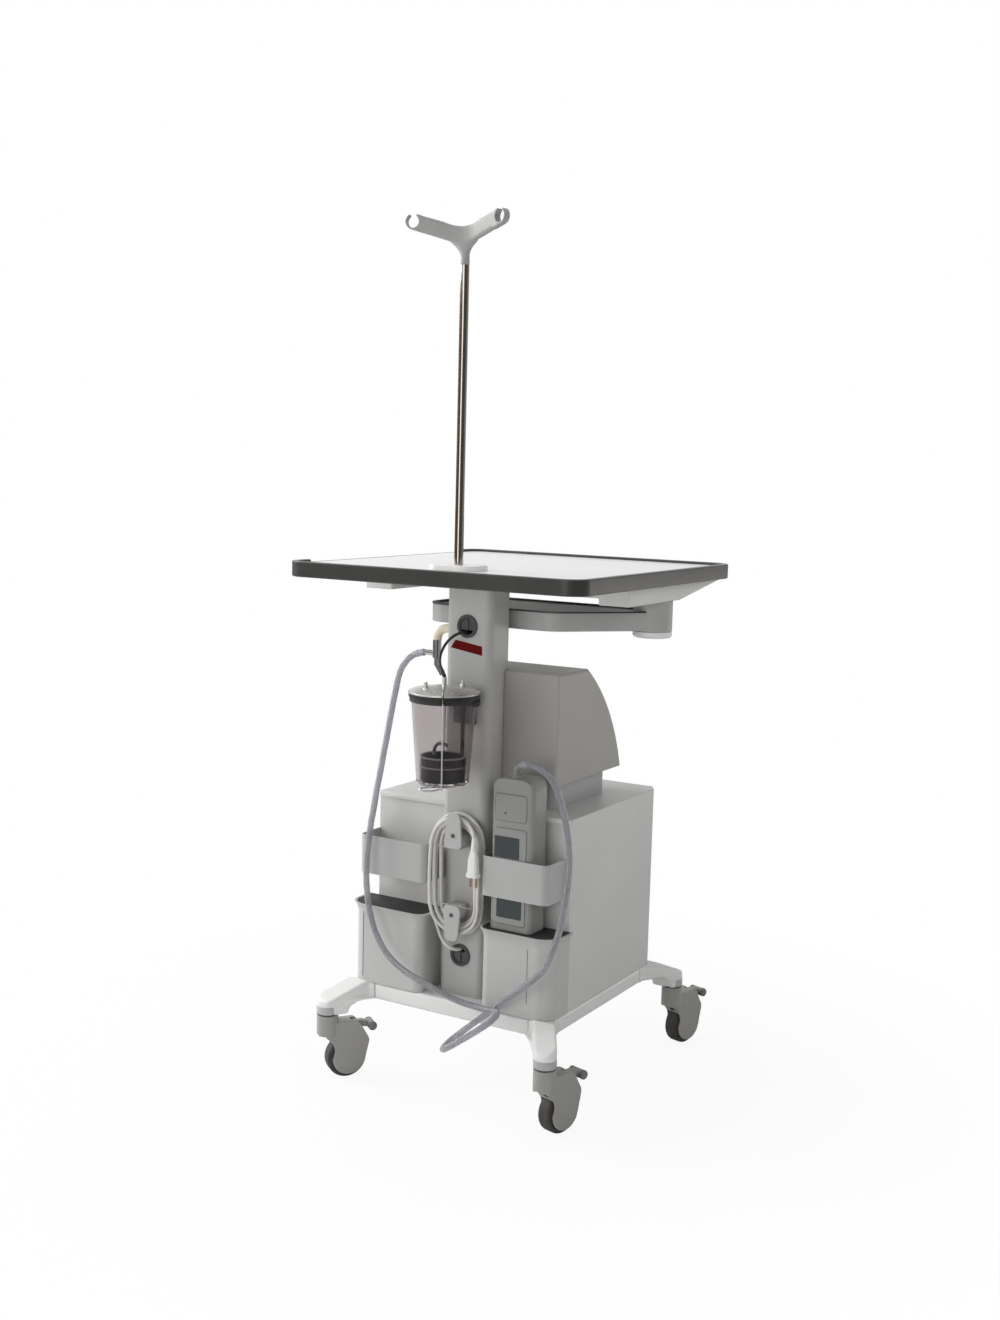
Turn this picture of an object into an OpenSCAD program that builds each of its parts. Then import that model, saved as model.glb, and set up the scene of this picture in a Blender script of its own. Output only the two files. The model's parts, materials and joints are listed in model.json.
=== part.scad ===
// Mobile suction cart: cabinet on four casters, column with table and hose stand, jar and pump.
// Millimetres, +Z up, front towards -Y, origin on the floor under the middle of the footprint.

/* [Table] */
// Height of the table rim above the floor
table_z = 965; // [900:1:1200]
// Width of the table
table_w = 600; // [580:1:760]
// Depth of the table
table_d = 634; // [600:1:780]
// Corner radius of the table
table_r = 38; // [20:1:60]
// Middle of the table, behind the origin
table_y = -16; // [-40:1:10]
// Height of the dark edge band
edge_h = 28; // [26:1:40]
// Thickness of the dark edge band
edge_t = 12; // [8:1:18]
// Height of the raised lip above the panel
lip_h = 5; // [3:0.5:8]
// Length of the lip left standing at each end of the open left side
lip_return = 28; // [15:1:60]
// Thickness of the white panel
panel_t = 19; // [15:1:22]
// Height of the carrying frame under the panel
frame_h = 36; // [28:1:48]
// Width of the frame's bars
frame_bar = 30; // [20:1:40]
// Height of the frame's side arms at their rear tips
frame_tip = 8; // [5:1:16]

/* [Cabinet] */
// Width of the cabinet and base
cabinet_w = 412; // [380:1:500]
// Depth of the cabinet and base
cabinet_d = 408; // [400:1:500]
// Middle of the cabinet, behind the origin
mid_y = -20; // [-40:1:0]
// Height of the cabinet above its base
cabinet_h = 350; // [340:1:420]
// Sheet thickness of the cabinet
sheet_t = 3; // [2:0.5:5]
// Corner radius of the cabinet at the rear
cabinet_r = 12; // [6:1:24]
// Height of the flared edge at the rear of the top
flare_h = 34; // [20:1:50]
// Reach of the flared edge
flare_d = 12; // [6:1:18]
// Depth of the two front steps
step_d = 68; // [60:1:90]
// Height of the two front steps
step_h = 149; // [110:1:180]
// Clear width between the two front steps
step_gap = 126; // [122:1:140]
// Distance of the left step's outer side from the middle
step_left_x = 219; // [200:1:230]
// Distance of the right step's outer side from the middle
step_right_x = 208; // [200:1:230]
// Outer corner radius of a step
step_r = 32; // [20:1:40]
// Inner corner radius of a step
step_inner_r = 18; // [8:1:24]
// Outward reach of a step's flared lip
step_flare = 8; // [4:0.5:10]
// Height of a step's flared lip
step_flare_h = 22; // [16:1:30]
// Depth of the recess for a step's mat
mat_recess = 3.5; // [3:0.5:5]
// Thickness of a step's mat
mat_t = 3; // [2:0.5:3]
// Height of a retaining band
strap_h = 72; // [50:1:90]
// Space between a step and the retaining band above it
strap_rise = 58; // [40:1:80]
// Thickness of a retaining band
strap_t = 2.5; // [2:0.5:4]
// Distance of a retaining band from the outer side of its step
strap_inset = 13; // [13:1:24]
// Corner radius of a retaining band
strap_r = 14; // [8:1:24]

/* [Base and casters] */
// Height of the underside of the base
base_z = 148; // [140:1:170]
// Thickness of the base
base_h = 31; // [24:1:40]
// Width of the base's rails
rail_w = 40; // [30:1:50]
// Forward and rearward reach of a leg, from the base to the caster stem
leg_reach = 54; // [46:1:70]
// Sideways reach of a leg, from the base to the caster stem
leg_side = 26; // [16:1:36]
// Radius of a leg's lower end
leg_r = 20; // [17:1:24]
// Height of a leg's lower end above the floor
leg_z = 123; // [118:1:126]
// Radius of a caster's stem
stem_r = 8; // [5:0.5:10]
// Length of a caster's stem in its leg
stem_l = 30; // [20:1:36]
// Radius of a caster's wheel
wheel_r = 37.5; // [34:0.5:39]
// Width of a caster's tyre
tyre_w = 26; // [20:1:30]
// Radius of the hub under the tyre
hub_r = 28; // [20:1:31]
// Radius of a wheel's axle
axle_r = 4; // [3:0.5:6]
// Trail of a wheel behind its stem
trail = 35; // [30:1:40]
// Thickness of a hood's side
hood_t = 2.5; // [2:0.5:4]
// Radius of a brake pedal's foot bar
pedal_r = 8; // [6:0.5:9]
// Radius of a brake pedal's pin
pedal_pin_r = 2.5; // [2:0.5:3]
// Direction of the front left wheel, from +X
swivel_fl = 54; // [0:1:359]
// Direction of the front right wheel, from +X
swivel_fr = 75; // [0:1:359]
// Direction of the rear left wheel, from +X
swivel_rl = 78; // [0:1:359]
// Direction of the rear right wheel, from +X
swivel_rr = 75; // [0:1:359]

/* [Column and console] */
// Width of the column
column_w = 94; // [80:1:104]
// Depth of the column
column_d = 75; // [64:1:90]
// Corner radius of the column
column_r = 15; // [8:1:24]
// Wall of the column
column_t = 3; // [2:0.5:5]
// Distance of the column's face behind the steps' faces
column_back = 36; // [30:1:44]
// Radius of a cable grommet's hole
grommet_r = 19; // [14:1:22]
// Height of the upper grommet above the floor
grommet_hi = 858; // [845:1:880]
// Height of the lower grommet above the floor
grommet_lo = 255; // [235:1:265]
// Height of the upper cord hook's seat above the floor
hook_hi = 489.7; // [480:0.1:510]
// Height of the lower cord hook's seat above the floor
hook_lo = 325.3; // [315:0.1:330]
// Reach of a cord hook in front of the column
hook_reach = 34; // [30:1:44]
// Width of the console hood
hood_w = 220; // [200:1:280]
// Distance of the hood's middle to the right of the column's middle
hood_side = 50; // [40:1:60]
// Height of the console hood
hood_h = 200; // [160:1:240]
// Distance of the hood's front behind the cabinet's upper front
hood_back = 20; // [10:1:30]
// Length of the hood's flat top
hood_top = 112; // [80:1:140]
// Length of the hood's foot, from front to rear
hood_foot = 255; // [220:1:290]
// Height of the plinth under the hood
plinth_h = 50; // [30:1:60]
// Distance of the plinth inside the hood's outline
plinth_inset = 20; // [12:1:30]

/* [Tray] */
// Width of the tray
tray_w = 300; // [240:1:340]
// Depth of the tray
tray_d = 200; // [160:1:220]
// Height of the tray's wall
tray_h = 33; // [24:1:36]
// Wall of the tray
tray_t = 3; // [2:0.5:5]
// Corner radius of the tray
tray_r = 45; // [20:1:70]
// Gap between the column's back and the tray
tray_gap = 8; // [4:1:20]
// Distance of the tray's pivot from the middle
pivot_x = 242; // [225:1:255]
// Place of the tray's pivot behind the origin
pivot_y = 64; // [40:1:80]
// Radius of the tray's hub
tray_hub_r = 36; // [28:1:40]
// Height of the tray's hub
tray_hub_h = 56; // [48:1:64]
// Radius of the tray's pivot post
post_r = 12; // [8:0.5:16]

/* [Hose stand] */
// Radius of the pole
pole_r = 8; // [6:0.5:12]
// Wall of the pole
pole_t = 1.5; // [1:0.25:3]
// Length of pole that shows above the table rim
pole_l = 515; // [400:1:700]
// Distance of the pole behind the table's front edge
pole_back = 111; // [90:1:140]
// Width of the pole's base plate
foot_w = 98; // [70:1:120]
// Depth of the pole's base plate
foot_d = 70; // [60:1:90]
// Thickness of the pole's base plate
foot_t = 9; // [6:1:14]
// Length of an arm of the head
arm_l = 92.5; // [70:0.5:120]
// Forward sweep of an arm of the head
arm_sweep = 17.5; // [0:0.5:30]
// Thickness of an arm of the head
arm_t = 13; // [10:0.5:16]
// Radius of a ring's bore
ring_r = 10.5; // [8:0.5:13]
// Wall of a ring
ring_t = 3; // [2:0.5:5]
// Width of the slot in a ring
ring_slot = 11.5; // [8:0.5:14]

/* [Suction jar] */
// Radius of the jar at its foot
jar_foot_r = 46.5; // [40:0.5:50]
// Radius of the jar at its mouth
jar_mouth_r = 57.5; // [54:0.5:58]
// Height of the jar
jar_h = 150; // [130:1:170]
// Wall of the jar
jar_t = 3; // [2:0.5:4]
// Radius of the jar's lid
lid_r = 63.5; // [62:0.5:72]
// Height of the jar's foot above the floor
jar_z = 586; // [576:1:596]
// Gap between the lid and the column
jar_gap = 8; // [7:1:16]
// Radius of the bail wire
bail_r = 1.5; // [1:0.25:2]

/* [Pump and cords] */
// Width of the pump
pump_w = 84; // [70:1:100]
// Depth of the pump
pump_d = 54; // [46:1:58]
// Height of the pump
pump_h = 273; // [240:1:290]
// Corner radius of the pump
pump_r = 9; // [4:1:14]
// Radius of the suction hose
hose_r = 6; // [5:0.5:7]
// Radius of the thin cable
cable_r = 2.5; // [2:0.25:3]
// Radius of the mains lead
lead_r = 3.25; // [3:0.25:4]

/* [Hidden] */
$fn = 64;
// Gap between pieces that only stand beside each other
gap = 0.3;
// Radial clearance of a shaft that turns in its bore
run = 0.05;
eps = 1;

cab_x = cabinet_w / 2;
cab_front = mid_y - cabinet_d / 2;
cab_back = mid_y + cabinet_d / 2;
wall_y = cab_front + step_d;
base_top = base_z + base_h;
cab_top = base_top + cabinet_h;
step_top = base_top + step_h;
mat_z = step_top - mat_recess;
mat_top = mat_z + mat_t;
// Reach of the mat's recess beyond the wall of its step
mat_out = 2.5;

panel_top = table_z - lip_h;
panel_z = panel_top - panel_t;
frame_z = panel_z - frame_h;
frame_plate = 6;
column_top = panel_z - frame_plate;
column_front = cab_front + column_back;
column_y = column_front + column_d / 2;
column_rear = column_front + column_d;

stem_x = cab_x + leg_side;
stem_dy = cabinet_d / 2 + leg_reach;
// One row for each caster: side, end, direction of its wheel
CASTERS = [[-1, -1, swivel_fl], [1, -1, swivel_fr], [-1, 1, swivel_rl], [1, 1, swivel_rr]];
wheel_gap = 1.5;
hood_x = tyre_w + 2 * wheel_gap + 2 * hood_t;
neck_z = leg_z - gap;
// Outline of a caster hood, as circles along its trail: place, height, radius
hood_low = [trail + 3, wheel_r, wheel_r - 6];
hood_rear = [trail + 28, wheel_r + 30, 14];
hood_peak = [trail + 15, leg_z - 25, 10];
hood_nose = [0, leg_z - 25, 10];
pedal_u = trail + 17;
pedal_z = leg_z - 24;
foot_bar = [32, -6];
lever_w = 12;

hook_w = 30;
hook_tongue = 36;
hook_plate = 5;
foot_sink = 0.6;

plinth_top = cab_top + plinth_h;
hood_front = wall_y + hood_back;
hood_top_z = plinth_top + hood_h;

tray_front = column_rear + tray_gap;
tray_mid = tray_front + tray_d / 2;
hub_top = frame_z - gap;
hub_z = hub_top - tray_hub_h;
tray_z = hub_z + 2;
rim_h = 3;
tray_top = tray_z + tray_h;
// The tray's outline, with the arm that reaches its pivot
TRAY = [
    [tray_r - tray_w / 2, tray_front + tray_r, tray_r],
    [tray_w / 2 - tray_r, tray_front + tray_r, tray_r],
    [pivot_x, pivot_y, tray_hub_r - 10],
    [tray_w / 2 - tray_r, tray_front + tray_d - tray_r, tray_r],
    [tray_r - tray_w / 2, tray_front + tray_d - tray_r, tray_r],
];
washer_r = post_r + 6;
washer_t = 5;

pole_y = table_y - table_d / 2 + pole_back;
pole_top = table_z + pole_l;
ring_z = pole_top + 73;
head_z = pole_top + 46;
head_r = 14;
spigot_l = 40;

jar_y = column_front - jar_gap - lid_r;
jar_top = jar_z + jar_h;
flange_t = 5;
flange_r = lid_r - 3;
seal_t = 6;
lid_z = jar_top + flange_t + seal_t;
lid_t = 7;
lid_top = lid_z + lid_t + 8;
// Direction that the bail faces, from -Y towards +X
bail_turn = 31;
nipple_r = 4;
nipple_h = 12;

// Tee fitting beside the column
tee = [-32 - column_w / 2, column_y - 14, grommet_hi - 65];
tee_r = 8;
tee_h = 33;
barb_r = 5;
barb_l = 26;
barb_z = 8;
elbow_z = grommet_hi - 10;
elbow_r = 8;
elbow_t = 2;

pump_x = step_gap / 2 + 13 + pump_w / 2;
pump_front = wall_y - 6 - pump_d;
pump_top = mat_top + pump_h;
nozzle = [pump_x - 6, pump_front + 22];
nozzle_r = 5;
nozzle_h = 17;

hank_in = 31;
hank_t = 25;
hank_end = 36;
hank_back = column_front - 2;
hank_d = 24;
plug = [24, 20, 48];
plug_at = [46, hank_back - hank_d - plug[1] / 2, 440];

// Suction hose, from the tee's barb down past the left step, through one loop and up to the pump
HOSE = [
    [-106, -166, 801], [-121, -166.5, 797.3], [-134.5, -168, 790], [-145, -170, 778.5],
    [-152, -173.5, 764.5], [-155, -177.5, 748], [-156, -182.5, 729], [-156.5, -190, 705],
    [-156.5, -199, 675], [-157, -208, 642], [-159, -215, 611], [-161, -221, 580], [-164, -227, 548],
    [-166, -232, 517], [-169, -237, 485], [-171, -240, 454], [-173, -242, 422], [-172, -245, 390],
    [-168, -247, 358], [-160, -250, 327], [-148, -253, 297], [-130, -256, 270], [-107, -259, 249],
    [-79, -261, 234], [-48, -264, 224], [-5, -263.5, 211.5], [36.5, -255, 196], [74.5, -248.5, 190],
    [100.5, -253, 191], [118, -261, 195], [130.5, -273, 198], [138.5, -288.5, 199.5], [142, -307, 198],
    [139.5, -325.5, 194], [132.5, -340.5, 187.5], [121.5, -351.5, 179], [107, -357.5, 168.5],
    [92, -357.5, 157.5], [77, -351.5, 147.5], [63, -337.5, 138.5], [52, -318, 132], [46.5, -299.5, 132],
    [46.5, -281, 135.5], [53, -263.5, 143.5], [65, -248.5, 155.5], [86.5, -237.5, 175],
    [119.5, -241.5, 203.5], [150, -254.5, 229], [179.5, -255.5, 254], [211, -254.5, 286],
    [229, -259, 323], [239, -258, 353], [246, -256, 384], [249, -253, 416], [251, -249, 447],
    [250, -245, 479], [245, -241, 510], [236, -236, 542], [224, -231, 571], [212, -227, 594],
    [195, -221, 613], [173, -214, 623.5], [150, -205, 627.2], [125.1, -197.2, 624.7],
];
// Thin cable, from the upper grommet to the jar's lid
CABLE = [
    [0, -186, 846.5], [-1, -196, 847.5], [-6, -208, 846], [-12, -220, 840], [-17, -233, 828],
    [-19, -244, 812], [-15, -252.5, 797], [-6, -258, 785], [0, -259.5, 774.8],
];
// Mains lead, from the lower grommet up to the hank
LEAD = [
    [0, -186, 266], [-4, -196, 267], [-11, -203, 270], [-20, -206, 276], [-29, -205, 284],
    [-36, -203, 292], [-38, -202, 298],
];

function corner_name(s) = str(s[1] < 0 ? "front" : "rear", s[0] < 0 ? "_left" : "_right");
CASTER_NODES = [for (k = ["leg", "caster_hood", "wheel_hub", "wheel_tyre", "brake_pedal"], c = CASTERS)
    str(k, "_", corner_name(c))];

// Shared shapes

// Outline of a belt drawn tight around circles [x, y, r] that are listed anticlockwise
module belt(c) {
    polygon([for (p = c) [p[0], p[1]]]);
    for (i = [0 : len(c) - 1])
        belt_side(c[i], c[(i + 1) % len(c)]);
    for (p = c) translate([p[0], p[1]]) circle(p[2]);
}

// The straight side of a belt from circle a to circle b
module belt_side(a, b) {
    pa = [a[0], a[1]];
    pb = [b[0], b[1]];
    along = pb - pa;
    turn = atan2(along[1], along[0]) - acos((a[2] - b[2]) / norm(along));
    out = [cos(turn), sin(turn)];
    polygon([pa, pa + a[2] * out, pb + b[2] * out, pb]);
}

function shrink(c, t) = [for (p = c) [p[0], p[1], p[2] - t]];

// Rectangle with round corners, centred
module rrect(w, d, r) {
    square([w - 2 * r, d], center = true);
    square([w, d - 2 * r], center = true);
    for (x = [-1, 1], y = [-1, 1]) translate([x * (w / 2 - r), y * (d / 2 - r)]) circle(r);
}

// Point at t on a smooth curve through the route p
function along(p, t) = let (
    i = min(floor(t), len(p) - 2), f = t - i,
    a = p[max(i - 1, 0)], b = p[i], c = p[i + 1], d = p[min(i + 2, len(p) - 1)])
    0.5 * (2 * b + (c - a) * f + (2 * a - 5 * b + 4 * c - d) * f * f + (3 * b - a - 3 * c + d) * f * f * f);
function unit(v) = v / norm(v);
function frames(t, n, i) = i >= len(t) ? [] :
    let (m = unit(n - t[i] * (n * t[i]))) concat([m], frames(t, m, i + 1));

// Tube of radius r swept along the route p, with a ring for each of n steps
module sweep(p, r, n, sides) {
    last = len(p) - 1;
    c = [for (i = [0 : n]) along(p, last * i / n)];
    t = [for (i = [0 : n]) unit(c[min(i + 1, n)] - c[max(i - 1, 0)])];
    start = abs(t[0][2]) > 0.9 ? [1, 0, 0] : [0, 0, 1];
    m = frames(t, start, 0);
    rim = [for (i = [0 : n], k = [0 : sides - 1]) let (a = 360 * k / sides)
        c[i] + r * (cos(a) * m[i] + sin(a) * cross(t[i], m[i]))];
    walls = [for (i = [0 : n - 1], k = [0 : sides - 1]) let (q = (k + 1) % sides)
        [i * sides + k, i * sides + q, (i + 1) * sides + q, (i + 1) * sides + k]];
    ends = [[for (k = [sides - 1 : -1 : 0]) k], [for (k = [0 : sides - 1]) n * sides + k]];
    polyhedron(rim, [for (f = concat(walls, ends)) [for (k = [len(f) - 1 : -1 : 0]) f[k]]], convexity = 10);
}

// Base and legs

module base_outline() translate([0, mid_y]) rrect(cabinet_w, cabinet_d, step_r);

module base_corner(s) translate([s[0] * (cab_x - rail_w / 2), mid_y + s[1] * (cabinet_d / 2 - rail_w / 2)])
    square(rail_w, center = true);

module base_frame() color("gainsboro") {
    bays = 3;
    bay_w = (cabinet_w - 2 * rail_w - (bays - 1) * rail_w / 2) / bays;
    floor_t = 8;
    difference() {
        translate([0, 0, base_z]) linear_extrude(base_h) difference() {
            base_outline();
            for (c = CASTERS) base_corner(c);
        }
        for (i = [0 : bays - 1])
            translate([(i - (bays - 1) / 2) * (bay_w + rail_w / 2), mid_y, base_z - eps])
                linear_extrude(base_h - floor_t + eps) rrect(bay_w, cabinet_d - 2 * rail_w, 10);
    }
}

// Leg casting of the front right corner, mirrored for the others
module leg_shape() {
    front = cabinet_d / 2;
    root = rail_w / 2;
    arch_r = leg_reach - leg_r - 8;
    top_r = base_h - 7;
    end_r = leg_r - 4;
    difference() {
        union() {
            translate([0, 0, base_z]) linear_extrude(base_h) intersection() {
                translate([0, -mid_y]) base_outline();
                translate([0, -mid_y]) base_corner([1, -1]);
            }
            intersection() {
                linear_extrude(base_top + top_r) belt([
                    [stem_x, -stem_dy, leg_r],
                    [cab_x - root, root - front, root],
                    [cab_x - rail_w + 14, root - front, 14]]);
                translate([0, -front, 0]) rotate([90, 0, -90]) linear_extrude(2 * cabinet_w, center = true)
                    leg_side_view(arch_r, top_r, end_r);
            }
            translate([stem_x, -stem_dy, leg_z]) cylinder(r = leg_r, h = end_r);
        }
        translate([stem_x, -stem_dy, leg_z - eps]) cylinder(r = stem_r + run, h = stem_l + eps + gap);
    }
}

// Side view of a leg: reach in front of the base, height
module leg_side_view(arch_r, top_r, end_r) {
    difference() {
        union() {
            belt([[-rail_w / 2, base_top - 12, 12], [leg_reach + leg_r - end_r, leg_z + end_r, end_r],
                [-6, base_top + 5 - top_r, top_r]]);
            translate([8, leg_z]) square([leg_reach + leg_r - 8 - end_r, base_z - leg_z]);
            translate([leg_reach, leg_z]) square([leg_r, end_r]);
        }
        translate([8, leg_z]) circle(arch_r);
        translate([8 - cabinet_d, 0]) square([cabinet_d, base_z]);
        translate([1 - cabinet_d, base_top]) square([cabinet_d, top_r]);
        translate([8, leg_z - arch_r]) square([arch_r, arch_r]);
    }
}

module leg(s) color("whitesmoke")
    translate([0, mid_y, 0]) mirror([s[0] < 0 ? 1 : 0, 0, 0]) mirror([0, s[1] > 0 ? 1 : 0, 0]) leg_shape();

// Casters

// Places a caster drawn with its stem at the origin and its wheel trailing towards +X
module at_caster(s) translate([s[0] * stem_x, mid_y + s[1] * stem_dy, 0]) rotate(s[2]) children();

// Turns an outline of trail and height into a solid of width w across the wheel
module across(w) rotate([90, 0, 0]) linear_extrude(w, center = true) children();

module hood_side_view() difference() {
    belt([hood_low, hood_rear, hood_peak, hood_nose]);
    translate([-20, wheel_r + 15]) circle(30);
}

module caster_hood(s) color("darkgray") at_caster(s) {
    difference() {
        union() {
            across(hood_x) hood_side_view();
            translate([0, 0, leg_z - 40]) cylinder(r = leg_r, h = 40 - gap);
        }
        translate([trail, 0, wheel_r]) rotate([90, 0, 0])
            cylinder(r = wheel_r + wheel_gap, h = tyre_w + 2 * wheel_gap, center = true);
        translate([0, 0, leg_z - 45]) rotate([0, 90, 0])
            cylinder(r = 8, h = 4 * leg_r, center = true);
        translate([pedal_u - 8, -lever_w / 2 - gap, pedal_z - 11]) cube([60, lever_w + 2 * gap, 40]);
    }
    translate([0, 0, neck_z - eps]) cylinder(r = stem_r, h = stem_l + eps);
    translate([trail, 0, wheel_r]) rotate([90, 0, 0]) cylinder(r = axle_r, h = hood_x, center = true);
    translate([pedal_u, 0, pedal_z]) rotate([90, 0, 0])
        cylinder(r = pedal_pin_r, h = hood_x, center = true);
}

// Turned piece about a wheel's axle: outline of radius and width
module about_axle() translate([trail, 0, wheel_r]) rotate([90, 0, 0]) rotate_extrude() children();

module wheel_hub(s) color("lightgray") at_caster(s) about_axle() difference() {
    translate([axle_r + run, -tyre_w / 2 + 1]) square([hub_r - axle_r - run, tyre_w - 2]);
    for (y = [-1, 1]) translate([(hub_r + axle_r) / 2 + 1, y * (tyre_w / 2 + 3)]) circle(8);
}

module wheel_tyre(s) color("dimgray") at_caster(s) about_axle() {
    crown_r = 4.7;
    translate([hub_r, -tyre_w / 2]) square([wheel_r - hub_r - crown_r, tyre_w]);
    translate([hub_r, -tyre_w / 2 + crown_r]) square([wheel_r - hub_r, tyre_w - 2 * crown_r]);
    for (y = [-1, 1]) translate([wheel_r - crown_r, y * (tyre_w / 2 - crown_r)]) circle(crown_r);
}

module brake_pedal(s) color("silver") at_caster(s) translate([pedal_u, 0, pedal_z]) {
    eye_r = pedal_pin_r + 3;
    bar_l = hood_x - 4;
    difference() {
        union() {
            across(lever_w) belt([[0, 0, eye_r], [foot_bar[0], foot_bar[1], 4], [14, 0, eye_r]]);
            translate([foot_bar[0], 0, foot_bar[1]]) rotate([90, 0, 0])
                cylinder(r = pedal_r, h = bar_l, center = true);
        }
        rotate([90, 0, 0]) cylinder(r = pedal_pin_r + run, h = 2 * lever_w, center = true);
    }
}

// Cabinet

module cabinet_outline(t) {
    r = cabinet_r - t;
    translate([0, wall_y + t]) {
        translate([t - cab_x, 0]) square([cabinet_w - 2 * t, cab_back - wall_y - 2 * t - r]);
        translate([t - cab_x + r, 0]) square([cabinet_w - 2 * t - 2 * r, cab_back - wall_y - 2 * t]);
        for (x = [-1, 1]) translate([x * (cab_x - t - r), cab_back - wall_y - 2 * t - r]) circle(r);
    }
}

// Opening that the column stands in, with clearance c
module column_notch(c) translate([0, column_y]) rrect(column_w + 2 * c, column_d + 2 * c, column_r + c);

module cabinet_shell() color("whitesmoke") {
    flare_r = (flare_d * flare_d + flare_h * flare_h) / (2 * flare_d);
    difference() {
        translate([0, 0, base_top]) linear_extrude(cabinet_h) cabinet_outline(0);
        translate([0, 0, base_top - eps]) linear_extrude(cabinet_h - sheet_t + eps) cabinet_outline(sheet_t);
        translate([0, 0, base_top - eps]) linear_extrude(cabinet_h + 2 * eps) column_notch(gap);
        translate([cabinet_r - cab_x, cab_back - sheet_t - eps, base_top - eps])
            cube([cabinet_w - 2 * cabinet_r, sheet_t + 2 * eps, cabinet_h - flare_h + eps]);
    }
    translate([0, cab_back, cab_top]) rotate([90, 0, 90])
        linear_extrude(cabinet_w - 2 * cabinet_r, center = true) difference() {
            translate([-sheet_t, -flare_h]) square([flare_d + sheet_t, flare_h]);
            translate([flare_r, -flare_h]) circle(flare_r);
        }
}

module rear_panel() color("gainsboro") difference() {
    rows = 7;
    slot_w = 120;
    pitch = 11;
    translate([cabinet_r - cab_x + gap, cab_back - sheet_t, base_top])
        cube([cabinet_w - 2 * cabinet_r - 2 * gap, sheet_t, cabinet_h - flare_h - gap]);
    for (i = [0 : rows - 1], x = [-1, 1])
        translate([x * cab_x / 2, cab_back, base_top + 60 + i * pitch]) rotate([90, 0, 0])
            linear_extrude(4 * sheet_t, center = true) rrect(slot_w, 4, 1.9);
}

// Outline of a step on the right, from the middle out to side, drawn in by t and flat at the cabinet
module step_plan(side, t) intersection() {
    belt([
        [step_gap / 2 + step_inner_r, wall_y + step_d, step_inner_r - t],
        [step_gap / 2 + step_inner_r, cab_front + step_inner_r, step_inner_r - t],
        [side - step_r, cab_front + step_r, step_r - t],
        [side - step_r, wall_y + step_d, step_r - t]]);
    translate([0, cab_front - step_d]) square([2 * side, 2 * step_d - gap]);
}

// Section of a step's flared lip: reach out from the wall, depth below the top
module lip_section() {
    flare_r = (step_flare * step_flare + step_flare_h * step_flare_h) / (2 * step_flare);
    difference() {
        translate([-eps, -step_flare_h]) square([step_flare + eps, step_flare_h]);
        translate([flare_r, -step_flare_h]) circle(flare_r, $fn = 180);
    }
}

// Quarter of a lip round a corner of radius r, from angle a
module lip_corner(r, a) rotate(a) rotate_extrude(angle = 90) translate([r, 0]) lip_section();

// Straight lip of length l towards +Y, reaching out towards +X
module lip_run(l) translate([0, l, 0]) rotate([90, 0, 0]) linear_extrude(l) lip_section();

module step_lip(side) translate([0, 0, step_top]) {
    inner = step_gap / 2 + step_inner_r;
    outer = side - step_r;
    front_in = cab_front + step_inner_r;
    front_out = cab_front + step_r;
    translate([inner, front_in, 0]) lip_corner(step_inner_r, 180);
    translate([outer, front_out, 0]) lip_corner(step_r, -90);
    translate([inner, cab_front, 0]) rotate(-90) lip_run(outer - inner);
    translate([side, front_out, 0]) lip_run(wall_y - gap - front_out);
    translate([step_gap / 2, wall_y - gap, 0]) rotate(180) lip_run(wall_y - gap - front_in);
}

module step_shape(side) difference() {
    union() {
        translate([0, 0, base_top]) linear_extrude(step_h) step_plan(side, 0);
        step_lip(side);
    }
    translate([0, 0, base_top - eps]) linear_extrude(step_h - mat_recess - sheet_t + eps)
        step_plan(side, sheet_t);
    translate([0, 0, mat_z]) linear_extrude(mat_recess + eps) step_plan(side, -mat_out);
}

module step_left() color("whitesmoke") mirror([1, 0, 0]) step_shape(step_left_x);
module step_right() color("whitesmoke") step_shape(step_right_x);

module step_mats() color("darkslategray") translate([0, 0, mat_z]) linear_extrude(mat_t) {
    step_plan(step_right_x, gap - mat_out);
    mirror([1, 0, 0]) step_plan(step_left_x, gap - mat_out);
}

// Retaining band above a step on the right: a strap round the front, open to the cabinet
module strap_shape(side) {
    low = step_gap / 2 - 5;
    high = side - strap_inset;
    middle = (low + high) / 2;
    reach = step_d - 2;
    translate([middle, wall_y, step_top + strap_rise]) linear_extrude(strap_h) intersection() {
        difference() {
            rrect(high - low, 2 * reach, strap_r);
            rrect(high - low - 2 * strap_t, 2 * (reach - strap_t), strap_r - strap_t);
        }
        translate([-cab_x, -cabinet_d]) square([cabinet_w, cabinet_d]);
    }
}

module strap_left() color("white") mirror([1, 0, 0]) strap_shape(step_left_x);
module strap_right() color("white") strap_shape(step_right_x);

// Column

module column() color("lightgray") difference() {
    translate([0, column_y, base_top]) linear_extrude(column_top - base_top) difference() {
        rrect(column_w, column_d, column_r);
        rrect(column_w - 2 * column_t, column_d - 2 * column_t, column_r - column_t);
    }
    for (z = [grommet_lo, grommet_hi]) at_grommet(z) cylinder(r = grommet_r, h = 4 * column_t, center = true);
    translate([0, tee[1], elbow_z]) rotate([0, -90, 0]) cylinder(r = elbow_r, h = column_w);
}

// Places a piece on the column's face, with its axis towards the front
module at_grommet(z) translate([0, column_front, z]) rotate([90, 0, 0]) children();

module cable_grommets() color("dimgray") for (z = [grommet_lo, grommet_hi]) at_grommet(z) rotate_extrude() {
    bush_r = grommet_r - 0.1;
    translate([grommet_r - 4, -column_t - 3]) square([bush_r - grommet_r + 4, column_t + 3]);
    translate([grommet_r - 4, 0]) square([6, 2]);
    translate([grommet_r - 2, 0]) square([2, 3]);
}

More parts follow.
